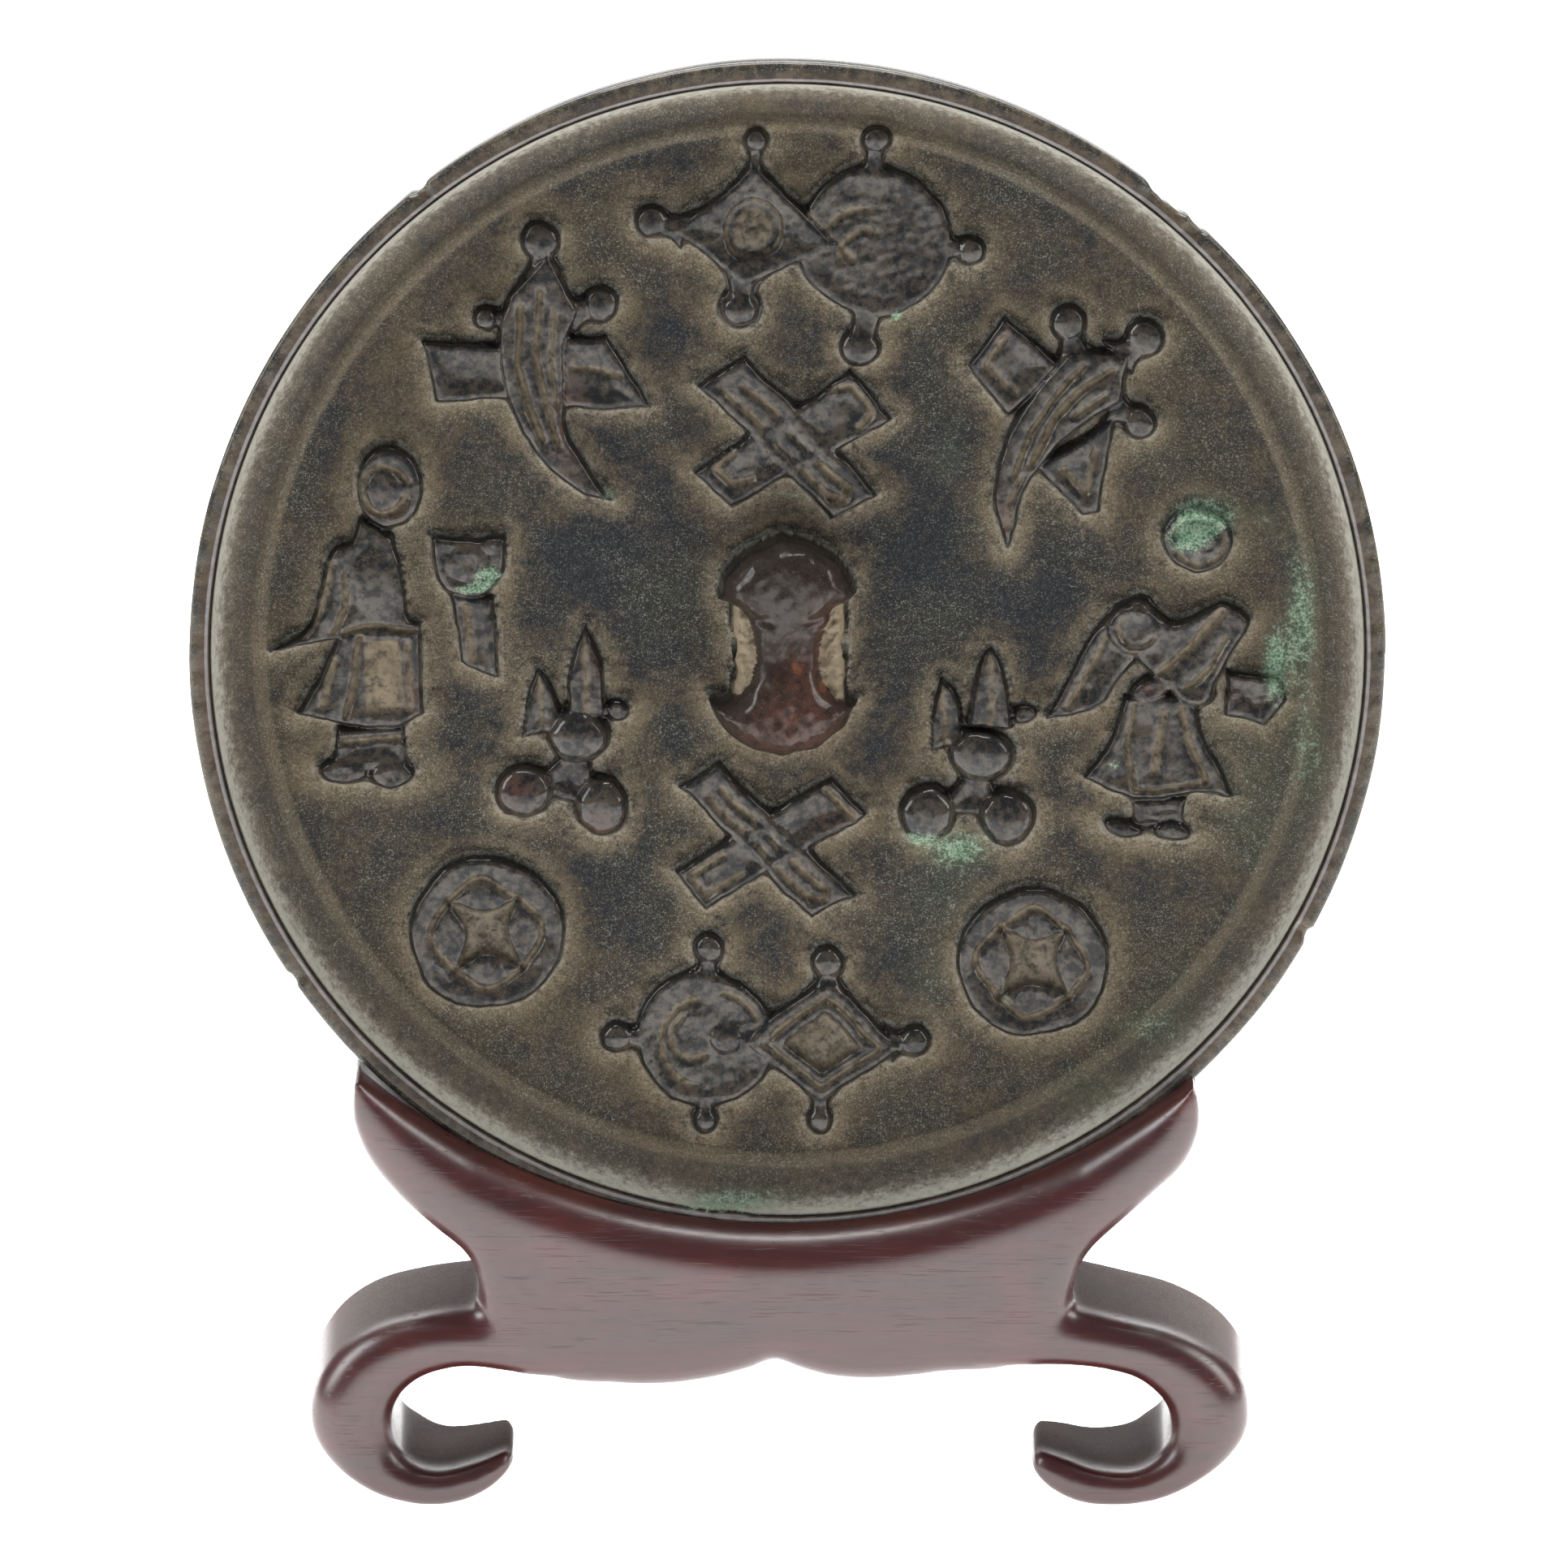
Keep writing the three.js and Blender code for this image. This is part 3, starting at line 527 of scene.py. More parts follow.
def crossedBars(upper, lower, endLines):
    cuts = []
    for across in (0.3, 0.64):
        cuts.append(cut([onBar(upper, 0.12, across), onBar(upper, 0.9, across)], 0.34, 0.3))
    cuts.append(cut([onBar(upper, 0.9, 0.3), onBar(upper, 0.94, 0.47), onBar(upper, 0.9, 0.64)]))
    plate(lower, 0.85, cuts=[cut(line, 0.4, 0.35) for line in endLines])
    plate(upper, dish=0.08, cuts=cuts)


def coin(x, y, radius, turn):
    half = radius * 0.42
    corners = [(x + half * math.sqrt(2) * math.cos(turn + (i + 0.5) * math.pi / 2),
                y + half * math.sqrt(2) * math.sin(turn + (i + 0.5) * math.pi / 2)) for i in range(4)]
    outline = []
    cuts = []
    for i in range(4):
        p, q = corners[i], corners[(i + 1) % 4]
        inner = between(between(p, q, 0.5), (x, y), 0.34)
        outer = between((x, y), between(p, q, 0.5), 1.72)
        outline += list(spline([p, inner, q], 5)[:-1])
        bow = spline([between((x, y), p, 1.08), outer, between((x, y), q, 1.08)], 5)
        cuts.append(cut(bow, 0.3, 0.42, 0.26))
    cuts.append(hollow(polygon(outline), 0.72, 0.22))
    disc(x, y, radius, 0.95, dish=0.1, cuts=cuts)


def midrib(leaf, width, depth):
    return [cut([leaf[0][-1], between(leaf[0][0], leaf[1][-1], 0.5)], width, depth)]


def pearls(flame, leaf, nub, *balls):
    plate(curved(*flame), 1.05, dish=0.0, cuts=midrib(flame, 0.25, 0.22))
    plate(curved(*leaf), mirror["low"], cuts=midrib(leaf, 0.3, 0.25))
    oval(*nub, 0.85, 0.75, mirror["low"])
    plate([pearl[:2] for pearl in balls], 0.55)
    for x, y, halfWidth, halfHeight in balls:
        ball(x, y, halfWidth, halfHeight, 1.65)


def addEmblems():
    for stem in (
        (-2.3, 33.8, -2.15, 36.5, 0.8), (-7.3, 30, -9.7, 30.7, 1.15), (-3, 27.2, -3.4, 24.3, 1.2),
        (6.2, 33.6, 6.3, 36.6, 1), (10.6, 29, 13, 28.4, 1), (5.8, 24.8, 5.2, 21.6, 1.3),
        (-5.8, -24.6, -5.7, -22.1, 1.1), (-10, -28.6, -12.2, -28.5, 1.1),
        (-5.9, -32.6, -5.9, -34.6, 0.9), (2.7, -25, 2.8, -23, 1.1), (7.4, -29, 9.2, -28.8, 1.15),
        (2.4, -32.6, 2.25, -34.6, 0.9), (-17.4, 27, -17.55, 29.3, 1.3),
        (-15.4, 24, -13.25, 24.7, 1.15), (-19.4, 23.6, -21.4, 23.6, 0.8),
        (-3.2, 27.2, -3.4, 24.3, 1.2), (20.4, 21, 19.9, 23.3, 1.2), (23.6, 20.9, 25.4, 22.3, 1.3),
        (23.2, 17.2, 25, 16.1, 1.1),
    ):
        tassel(*stem)
    disc(6.2, 29.2, 5.4, 0.72, dish=0.12, rough=0.02,
        cuts=[cut(arc(5.4, 28.4, 3.3, 80, 165), 0.3, 0.25),
              cut(arc(5.6, 28.2, 1.9, 70, 190), 0.3, 0.25),
              cut([(-2.3, 34.9), (3.6, 29), (4.6, 28)], 0.3, 0.3)])
    plate([(-2.3, 34.9), (-8.2, 30), (-3, 26), (3.6, 29)], rough=0.03,
        cuts=[hollow(ellipse(-2.45, 30.1, 2.1, 2.1), 0.65),
              cut(arc(-2.45, 30.1, 1.75, 0, 360, 24), 0.5, 0.1, 0.2)])
    disc(-5.9, -28.6, 4.9, 0.72, dish=0.12, rough=0.015,
        cuts=[cut(arc(-5.9, -28.8, 3.2, 100, 250), 0.34, 0.32),
              cut(arc(-6.6, -28.4, 1.7, 120, 300), 0.3, 0.3),
              cut(arc(-5.4, -28.2, 3.3, 20, 75), 0.3, 0.28)])
    middle = (2.6, -28.9)
    sides = [(2.7, -24), (8.2, -29.2), (2.4, -33.4), (-3.3, -28.9)]
    loop = [between(middle, corner, 0.70) for corner in sides]
    plate(sides, dish=0.0, cuts=[
        hollow(polygon([between(middle, corner, 0.44) for corner in sides]), 0.8),
        cut(loop + loop[:1], 0.3, 0.4, 0.2)])
    tassel(-2.6, -28.9, -4.4, -28.7, 1.2)
    cross = [(4.5, 19.8), (7.5, 16.5), (-4, 10), (-6.6, 12.6)]
    crossedBars([(-6.5, 18.9), (-2.9, 21), (6.45, 10.85), (3.1, 9.3)], cross,
                [[(-3.9, 14), (-5, 12.8), (-4, 11.9), (-2.6, 12.2)],
                 [(3.2, 18.6), (4.6, 18.7), (6, 16.9), (5, 15.8)]])
    cross = [(3.1, -9.6), (5.7, -12.2), (-5.7, -19.1), (-8.1, -16.5)]
    crossedBars([(-7.7, -10.2), (-4.9, -8.4), (4.95, -18.2), (1.65, -19.9)], cross,
                [[(2.7, -10.5), (4.6, -12.3)],
                 [(-4.6, -15.2), (-6.9, -16.7), (-5.7, -18), (-3.4, -16.6)]])
    coin(-21.45, -20.85, 5.55, 0.06)
    coin(17.5, -23, 5.45, -0.03)
    pearls(([(-15.6, -5.3), (-15.6, -2.5), (-15, -0.1), (-14.35, 1.5)],
            [(-13.6, 0.1), (-13.1, -2), (-12.9, -5)], [(-15.6, -5.3)]),
           ([(-18.8, -6.7), (-18.5, -4), (-17.7, -1.6)], [(-16.8, -2.8), (-16, -6)], [(-18.8, -6.7)]),
           (-12, -4.6), (-14.85, -6.55, 2.3, 1.95), (-18.7, -10.65, 2.15, 2), (-13.2, -11.7, 1.9, 2.2))
    pearls(([(12.9, -5.8), (13.1, -3), (13.7, -0.9), (14.4, -0.15)],
            [(15.1, -1.2), (15.7, -3.2), (16, -6)], [(12.9, -5.8)]),
           ([(10.2, -7.8), (10.4, -4.8), (11, -2.5)], [(12.2, -3.8), (12.6, -7.2)], [(10.2, -7.8)]),
           (16.9, -5), (13.8, -7.95, 2.35, 1.95), (10.05, -12.2, 2, 2.2), (15.65, -12.5, 2.05, 2.2))


def addHorns():
    plate([(-25.9, 21.9), (-19.7, 21.9), (-19, 17.7), (-24.9, 17.6)], 0.7)
    plate([(-16, 22.5), (-12.8, 22.5), (-9.8, 17.3), (-16, 17.1)], 0.75,
        cuts=[cut([(-15.2, 20.2), (-12, 19.6)], 0.3, 0.25)])
    plate(curved([(-17.1, 28.6), (-19.7, 25.5)],
        [(-20.5, 22.3), (-19.9, 17.9), (-17.8, 13.9), (-15, 11.2), (-12.4, 10.4)],
        [(-14.4, 13.2), (-15.7, 16.2), (-15.8, 20.4), (-15.7, 22.3), (-14.8, 24.2)],
        [(-17.1, 28.6)]), 1.15, dish=0.0,
        cuts=[cut([(-18.9, 24.4), (-19, 20.5), (-18.4, 17.2), (-17.4, 15)], 0.4, 0.5),
              cut([(-17.6, 25.6), (-17.8, 21.6), (-17.2, 17.6), (-16.2, 14.6)], 0.34, 0.42),
              cut([(-16.6, 24.4), (-16.7, 21), (-16.5, 17.5)], 0.3, 0.36)])
    plate([(15.3, 23.7), (12.8, 20.25), (15.7, 16.6), (19.4, 20.5)], 0.75,
        cuts=[cut([(15.4, 22.3), (14.2, 20.3), (16.2, 18.4)], 0.34, 0.3)])
    plate([(17.6, 13.2), (20.9, 9.3), (22.2, 9.5), (22.9, 14.3), (23.3, 16.6)], 0.75,
        cuts=[cut([(19.6, 12.8), (21.2, 11), (21.7, 14.4)], 0.34, 0.3)])
    plate(curved([(20, 21.4), (24.2, 21.2)], [(23.8, 17.5)],
        [(21.9, 16.6), (19.2, 14.5), (17.2, 11.8), (16.2, 8.7), (15.5, 6.8)],
        [(14.6, 10.9), (15.5, 14.8), (17.5, 18.7), (20, 21.4)]), 1.15, dish=0.0,
        cuts=[cut([(23, 20), (20.8, 18.4), (18.8, 16), (17.4, 13.4)], 0.4, 0.48),
              cut([(21, 20.3), (18.9, 17.9), (17.2, 15.3), (16.1, 12.6)], 0.34, 0.42),
              cut([(16.6, 12.4), (15.8, 10.4), (15.6, 8.6)], 0.3, 0.35),
              cut([(22.6, 18.2), (20.4, 16.6)], 0.3, 0.35)])


def leftAttendant():
    plate(curved([(-31, 7.6), (-30.5, 9.2), (-29.6, 8.9), (-28, 7.9)],
        [(-27.4, 5.2), (-27, 2.4), (-26, 1.6)], [(-25.9, -4.9)],
        [(-28, -6), (-31.4, -5.6), (-34.9, -5)], [(-33.2, -2.4), (-32, 0.6)], [(-36.8, -0.4)],
        [(-34.4, 1.2), (-33.3, 3.6), (-32.4, 6.9), (-31, 7.6)]), 1.05, dish=0.05,
        cuts=[hollow(polygon([(-29.9, 0.4), (-27.6, 0.4), (-27.3, -4.7), (-29.9, -4.7)]), 0.34),
              cut([(-31.5, 1.1), (-29, 1.5), (-26.6, 1.2)], 0.34, 0.5),
              cut([(-32.3, 6), (-32.9, 3.4), (-34.4, 0.9)], 0.4, 0.45),
              cut([(-31.4, 5), (-31.4, 3), (-32.3, 1.1)], 0.4, 0.45),
              cut([(-30.4, 0.6), (-30.8, -2), (-31.5, -5)], 0.4, 0.5),
              cut([(-32.2, -1), (-32.8, -3), (-33.2, -4.4)], 0.34, 0.34),
              cut([(-27, 0.2), (-26.9, -4.6)], 0.3, 0.34)],
        domes=[swell(ellipse(-28.7, -2.2, 0.8, 2.2), 0.3),
               swell(ellipse(-29.4, 4.6, 1.5, 2.6), 0.22)])
    plate(ellipse(-28.3, 11.5, 2.35, 2.95), 0.95, dish=0.22,
        cuts=[cut(arc(-28.6, 11.4, 1.65, 20, 340, 20), 0.28, 0.34, 0.2)],
        domes=[swell(ellipse(-28.6, 11.4, 1.35, 2.0), 0.5)])
    plate([(-32, -5.9), (-27.4, -5.9), (-26.9, -9), (-32.4, -9)], 0.6,
        cuts=[cut([(-31.9, -6.9), (-27.3, -6.8)], 0.3, 0.34)])
    oval(-31.6, -9.2, 1.75, 0.95, 0.85)
    oval(-28.1, -9.4, 1.6, 0.95, 0.85)
    plate(curved([(-25.2, 7.8), (-20, 7.8)],
        [(-20.2, 5.3), (-22, 3.6), (-24.2, 3.9), (-25, 5.6), (-25.2, 7.8)]),
        1.0, dish=0.3, domes=[swell(ellipse(-22.7, 6, 1.6, 1.3), 0.45)])
    plate([(-24, 3.8), (-20.9, 3.6), (-20.5, -2.3), (-23.2, -1.2)], 0.8,
        cuts=[cut([(-22.9, 2.8), (-22.4, -0.9)], 0.5, 0.32)])


def rightAttendant():
    plate(curved([(24, -3.8), (22.8, -7), (21.1, -9.5)],
        [(22.8, -10.5), (24.5, -11.1), (27.2, -11.1), (29.8, -10.7), (31.8, -10.9)],
        [(30.9, -9), (29.6, -6.4), (28.8, -3.6)], [(24, -3.8)]), 0.95, dish=0.1,
        cuts=[cut([(24.7, -4.4), (24.1, -7), (24.6, -10.2)], 0.34, 0.46),
              cut([(26.9, -4.8), (26.4, -7.2), (26, -9.2)], 0.5, 0.34),
              cut([(28.1, -4.4), (28.9, -7.4), (29.9, -10)], 0.34, 0.46),
              cut([(24.6, -10.5), (27.2, -10.45), (29.8, -10)], 0.25, 0.4, 0.2)])
    plate(curved([(25.6, 3.3), (24, 2.9), (22.4, 1.6), (20.8, -0.4), (19.6, -2.9), (18.5, -5.5)],
        [(20.6, -5.1), (22.4, -4.2), (23.4, -2.6), (24.8, -1)], [(25.6, 3.3)]), 0.85, dish=0.2,
        cuts=[cut([(22.7, 0.6), (21.2, -1.8), (20.2, -4.4)], 0.4, 0.3)])
    plate(curved([(24, 0.4), (24.2, 2.8), (25.2, 3.4), (27, 1.9), (28.6, 2.1), (30.9, 3.2)],
        [(32.2, 2.7), (32.9, 1.6), (31.4, -1)], [(30.3, -2.8), (29.7, -4), (28.2, -4.1), (27.4, -3.4)],
        [(26, -2.2), (24, 0.4)]), 1.2, dish=0.12,
        cuts=[cut([(31, 2.6), (28.8, 0.1), (26.5, -1.9)], 0.5, 0.38),
              cut([(31.3, 0.7), (29.9, -1.6), (28.4, -3)], 0.34, 0.4)])
    oval(24.7, 1.3, 1.95, 1.85, 1.35, dish=0.25,
        cuts=[cut(arc(24.9, 1.4, 1.15, 150, 330), 0.28, 0.34, 0.2)])
    oval(25.9, -3.2, 1.5, 0.95, 1.15, turn=0.35, dish=0.2)
    oval(28.9, -3.8, 1.0, 0.5, 1.3)
    plate(ellipse(29.1, 7.7, 2.45, 2.45), 0.95, dish=0.15, rough=0.04,
        cuts=[cut(arc(29.2, 7.6, 1.75, -150, 160, 20), 0.26, 0.3, 0.2)],
        domes=[swell(ellipse(29.2, 7.6, 1.4, 1.4), 0.35)])
    plate([(31.2, -2), (34.8, -2.3), (35.6, -3.9), (34, -5.8), (31, -5)], 0.7, rough=0.03)
    oval(24, -13.2, 1.3, 0.6, 0.75, turn=-0.15)
    oval(27.4, -13.5, 1.2, 0.7, 0.75, turn=-0.2)
    plate([(24.6, -11.2), (28.2, -11.2), (28, -12.9), (24.8, -12.7)], 0.45)


knob = {
    "height": 5.0, "round": 2.1, "steepness": 0.66, "apron": 3.1, "apronRound": 0.9,
    "waistDip": 0.65, "creaseDepth": 0.35, "dustOnCrust": 1.6, "darkAbove": 3.2, "darkness": -1.5,
    "hole": 1.2, "holeHeight": 1.65, "holeUp": 0.3,
}


def knobHeight(u, v):
    uw = u + 0.08 * ripple(u, v, 2.3, 31)
    vw = v + 0.08 * ripple(u, v, 2.1, 32)
    body = curved([(-4.95, 3.7), (-4.4, 5.7), (-3, 7.05), (-1, 8.1), (0.4, 8.2), (2.6, 7.3), (4.2, 5.9),
                   (4.9, 4.2)],
                  [(3.9, 3.3), (3.2, 2.3), (2.8, 0.8), (2.7, -0.8), (2.9, -2.2), (3.7, -3.2), (4.9, -3.8)],
                  [(4.2, -5.2), (2.6, -6.7), (0.3, -7.5), (-1.6, -7.4), (-3.6, -6.5), (-4.9, -5.2),
                   (-5.6, -3.6)],
                  [(-4.2, -3.4), (-3.3, -2.6), (-2.8, -1.2), (-2.8, 0.8), (-3.1, 2.2), (-3.7, 3.1),
                   (-4.95, 3.7)])
    apron = [(-4.2, 4), (-4, 1), (-3.8, -1.4), (-4.2, -4.2), (4.3, -4.2), (4.2, -1.4), (4.3, 1),
             (4.2, 4)]
    creases = [[(-4.2, 3.4), (-2.9, 2.8), (-1.2, 2.5)], [(4.4, 3.7), (3.1, 3.0), (1.6, 2.6)]]
    height, crusted = np.zeros((2, *u.shape))
    outside = np.full(u.shape, mirror["farAway"])
    crust = 0.10 * ripple(u, v, 1.1, 33, 11) + 0.05 * ripple(u, v, 0.5, 34, 11)
    for outline, top, soft, steep in ((body, knob["height"], knob["round"], knob["steepness"]),
                                      (apron, knob["apron"], knob["apronRound"], 1.0)):
        d = polygon(outline)[0](uw, vw)
        t = np.clip(-d / soft + 0.03, 0, 1)
        own = top * (1 - (1 - t) ** 2) ** (steep / 2)
        if outline is apron:
            own += crust * ease(own, 0.3, 1)
            crusted = ((own > height) & (own > 0.3)) * 1.0
        else:
            own -= knob["waistDip"] * np.exp(-((vw - 0.2) / 2.4) ** 2) * (own > 1)
            for crease in creases:
                inCrease = ease(-stroke(crease, 0.5)[0](uw, vw), -0.45, 0.25)
                own -= knob["creaseDepth"] * inCrease * (own > 1)
        height = np.maximum(height, own)
        outside = np.minimum(outside, d)
    return height + 0.04 * ripple(u, v, 1.6, 35) * ease(height, 0.5, 1.5), outside, crusted


addEmblems()
addHorns()
leftAttendant()
rightAttendant()


def frontHeight(u, v):
    radius = np.hypot(u, v)
    height, distance, caught, pearly = measureRelief(u, v)
    knobTop, knobDistance, crust = knobHeight(u, v)
    caught = np.maximum(caught, crust * knob["dustOnCrust"])
    pearly = np.where(knobTop > knob["darkAbove"], knob["darkness"], pearly)
    height = np.maximum(height, knobTop)
    distance = np.minimum(distance, knobDistance)
    height += mirror["skirt"] * np.exp(-np.maximum(distance, 0) / mirror["skirtReach"])
    ridge = np.exp(-((radius - mirror["ridgeRadius"]) / mirror["ridgeWidth"]) ** 2)
    ridge = mirror["ridgeHeight"] * ridge
    uneven = 0.035 * ripple(u, v, 7, 11) + 0.018 * ripple(u, v, 2.2, 12) + 0.008 * ripple(u, v, 0.9, 13)
    return mirror["ground"] + np.maximum(height, ridge) + uneven, distance, caught, pearly


rim = {
    # radius, and height above the ground, from the cove over the edge to the start of the back
    "profile": [(38.6, 0.02), (39.2, 0.08), (39.7, 0.28), (40.1, 0.66), (40.45, 1.3), (40.7, 2.0),
                (40.88, 2.55), (40.98, 2.8), (41.06, 2.74), (41.14, 2.86), (41.2, 3.1), (41.3, 3.19),
                (41.5, 3.2), (42.1, 3.2), (42.3, 3.16), (42.44, 3.02), (42.5, 2.8), (42.45, 1.8),
                (42.3, 0.2), (42.1, -1.0), (42.0, -1.35), (41.8, -1.55), (41.4, -1.6)],
    # bites out of the outer edge: angle in degrees, width, depth
    "bites": [(50.5, 4.4, 0.42), (46.6, 2.2, 0.2), (128, 1.8, 0.28), (331, 1.5, 0.2), (214, 1.5, 0.16)],
    "biteSlope": 1.1,  # how much lower the top is, for each depth of a bite
    "breachAngle": 264.6, "breachWidth": 1.1, "breachDepth": 0.55,  # a break in the inner edge
    "biteHeight": 2.6, "dentHeight": 2.5, "backRings": 16,
}


def chipDepth(angles):  # how far the bites eat into the outer edge
    depth = np.zeros(len(angles))
    for place, width, deep in rim["bites"]:
        along = (angles - math.radians(place)) * mirror["radius"] / (width / 2)
        depth = np.maximum(depth, deep * ease(1 - np.abs(along) ** 1.5, 0, 0.9))
    return depth * (1 + 0.12 * ripple(angles * 42, angles * 0, 1.1, 22))


def buildMirror():
    angles = np.arange(mirror["angles"]) * 2 * math.pi / mirror["angles"]
    cosines, sines = np.cos(angles), np.sin(angles)
    rings = []
    for radius in np.arange(mirror["ringStep"], mirror["fieldRadius"], mirror["ringStep"]):
        u, v = radius * cosines, radius * sines
        rings.append(np.stack([u, v, frontHeight(u, v)[0]], 1))
    chips = chipDepth(angles)
    zero = angles * 0
    worn = 0.05 * ripple(angles * 20, zero, 31, 21) + 0.015 * ripple(angles * 20, zero, 3, 23)
    breach = np.exp(-((angles - math.radians(rim["breachAngle"])) * 41 / rim["breachWidth"]) ** 4)
    dents = 0.03 * ripple(angles * 41, zero, 2.4, 24)
    for radius, height in spline(rim["profile"], 2):
        r = radius + worn * ease(radius, 40, 42) - chips * ease(radius, 41, 42.3)
        onInnerEdge = ease(radius, 40.6, 40.95) * (1 - ease(radius, 41.2, 41.5))
        top = height - rim["breachDepth"] * breach * onInnerEdge
        top = top - rim["biteSlope"] * chips * ease(radius, 41.0, 41.5) * (height > rim["biteHeight"])
        top = top + dents * ease(radius, 40.8, 41.1) * (height > rim["dentHeight"])
        rings.append(np.stack([r * cosines, r * sines, mirror["ground"] + top], 1))
    for radius in np.linspace(41, 2, rim["backRings"]):
        bulge = mirror["crown"] * (1 - (radius / mirror["backRadius"]) ** 2)
        rings.append(np.stack([radius * cosines, radius * sines,
                               np.full(len(angles), -mirror["thickness"] - bulge)], 1))
    points = np.vstack(rings + [[(0, 0, frontHeight(np.zeros(1), np.zeros(1))[0][0])],
                                [(0, 0, -mirror["thickness"] - mirror["crown"])]])
    count, around = len(rings), mirror["angles"]
    k = np.arange(around)
    n = (k + 1) % around
    faces = []
    for i in range(count - 1):
        quad = np.stack([i * around + k, (i + 1) * around + k, (i + 1) * around + n, i * around + n], 1)
        faces.append(quad)
    quads = np.vstack(faces)
    first, last = len(points) - 2, len(points) - 1
    fans = [(first, int(a), int(b)) for a, b in zip(k, n)]
    end = (count - 1) * around
    fans += [(last, int(end + b), int(end + a)) for a, b in zip(k, n)]
    piece = meshPiece("bronzeMirror", points * mm, quads.tolist() + fans)
    total = 2 * len(quads) + len(fans)
    applyModifier(piece, "DECIMATE", ratio=mirror["triangles"] / total)
    bpy.ops.mesh.primitive_cylinder_add(vertices=48, radius=knob["hole"] * mm, depth=11 * mm,
                                        rotation=(0, math.pi / 2, 0),
                                        location=(0, knob["holeUp"] * mm,
                                                  (mirror["ground"] + knob["holeHeight"]) * mm))
    subtractFrom(piece, bpy.context.object)
    return piece


mirrorPiece = buildMirror()
print("mirror cast:", len(mirrorPiece.data.polygons), "faces")


# Where time has marked the bronze: (right, up, half width, half height, strength), in its plane.
stains = {
    "green": [
        (29.6, 9.2, 2.2, 1.5, 1.3), (28.3, 7.6, 1.4, 1.2, 0.8), (-21.2, 5.2, 1.1, 1, 1),
        (-22.6, 4.2, 1.3, 0.5, 0.9), (36.6, 2, 1.5, 6, 0.75), (34.6, -1.5, 0.9, 2.6, 0.9),
        (37.3, -8, 1.5, 4, 0.5), (12.2, -14.8, 2.6, 1.6, 0.85), (9.2, -13.8, 1.2, 0.9, 0.7),
        (11.5, -18.5, 4, 2.4, 0.35), (-4.2, -40.3, 4.4, 0.8, 0.85), (26, -27.8, 3.6, 1.8, 0.55),
        (28, -24.5, 2.2, 2, 0.3), (7.7, 23.8, 0.5, 0.5, 1), (0.3, 10.8, 1.3, 0.5, 0.6),
        (-12.7, 10.9, 0.7, 0.5, 0.8), (23.3, -8.6, 0.6, 0.6, 0.7), (11.5, 13.5, 1.4, 2.4, 0.4),
        (10, -24.5, 2.2, 3, 0.35), (34, 9, 1.6, 2.2, 0.35), (22, -32.5, 6, 2.4, 0.4),
        (33, -12, 3.5, 8, 0.4), (15.5, -25.2, 0.5, 1.4, 0.6),
    ],
    "red": [
        (0.4, -4.9, 3.6, 2.4, 1), (1.6, -1.2, 2, 2.4, 0.75), (2.8, 2.6, 1.6, 2, 0.5),
        (0.6, -0.8, 0.45, 0.45, 1.2), (2.7, -2.3, 0.55, 0.4, 1.2),
        (-19.3, -10.4, 1.1, 1.2, 0.9), (-13.4, -12.6, 1.2, 0.9, 0.7), (-15.6, 16.4, 0.7, 4, 0.7),
        (-28.1, 9.6, 0.8, 1, 0.6), (15.3, 9.2, 0.6, 1.5, 0.8), (-18.6, -15.6, 1.4, 0.7, 0.5),
        (-26.6, -3.6, 0.5, 2, 0.6), (3.5, -12.6, 2, 1, 0.4), (-11.5, 30.5, 0.7, 0.7, 0.5),
        (31.9, -2.6, 1.2, 1, 0.4), (-13.4, -0.8, 0.5, 1.6, 0.8), (25.7, -3, 0.9, 0.6, 0.7),
        (38.5, -20, 3.5, 5, 0.25), (-41.6, -8, 0.8, 9, 0.7), (15.6, 22.6, 0.7, 0.7, 0.7),
    ],
    "slate": [
        (-12, 4, 5.5, 5, 0.9), (9.5, 3, 4.5, 8, 0.8), (-13.5, 16, 3, 5, 0.5),
        (9.5, 16.5, 3, 3.5, 0.6), (-22, 33, 8, 3, 0.6), (-8, 36, 9, 2.5, 0.7),
        (16, 34, 8, 3, 0.7), (-33, 18, 3, 8, 0.5),
        (-12, -17, 4, 4, 0.6), (18, 2.5, 4, 6, 0.4), (-27, -13, 4, 2, 0.4),
        (25, -17.5, 4, 2, 0.4), (-34, -12, 2, 6, 0.4),
    ],
}


def stainAmount(kind, u, v):
    total = np.zeros(u.shape)
    for x, y, halfWidth, halfHeight, strength in stains[kind]:
        total += strength * np.exp(-((u - x) / halfWidth) ** 2 - ((v - y) / halfHeight) ** 2)
    return np.minimum(total, 1.4)


def markMirror():
    u, v, w = (vertexArray(mirrorPiece) / mm).T
    _, distance, caught, pearly = frontHeight(u, v)
    isFront = (w > -3.75) & (np.hypot(u, v) < 41.9)  # above the back, inside the outer edge
    # the slopes that face up, in the mirror's plane, get painted shade in the finish
    shed = ease(vertexArray(mirrorPiece, "normal")[:, 1], 0.03, 0.26)
    marks = {"caught": caught, "pearly": pearly, "front": 1.0, "shed": shed}
    marks.update({kind: stainAmount(kind, u, v) for kind in stains})
    for name, values in marks.items():
        addAttribute(mirrorPiece, name, values * isFront)
    addAttribute(mirrorPiece, "edge", np.where(isFront, distance, mirror["farAway"]))


markMirror()
mirrorPiece.data.transform(mirrorPlace())
activate(mirrorPiece)
bpy.ops.object.shade_smooth()


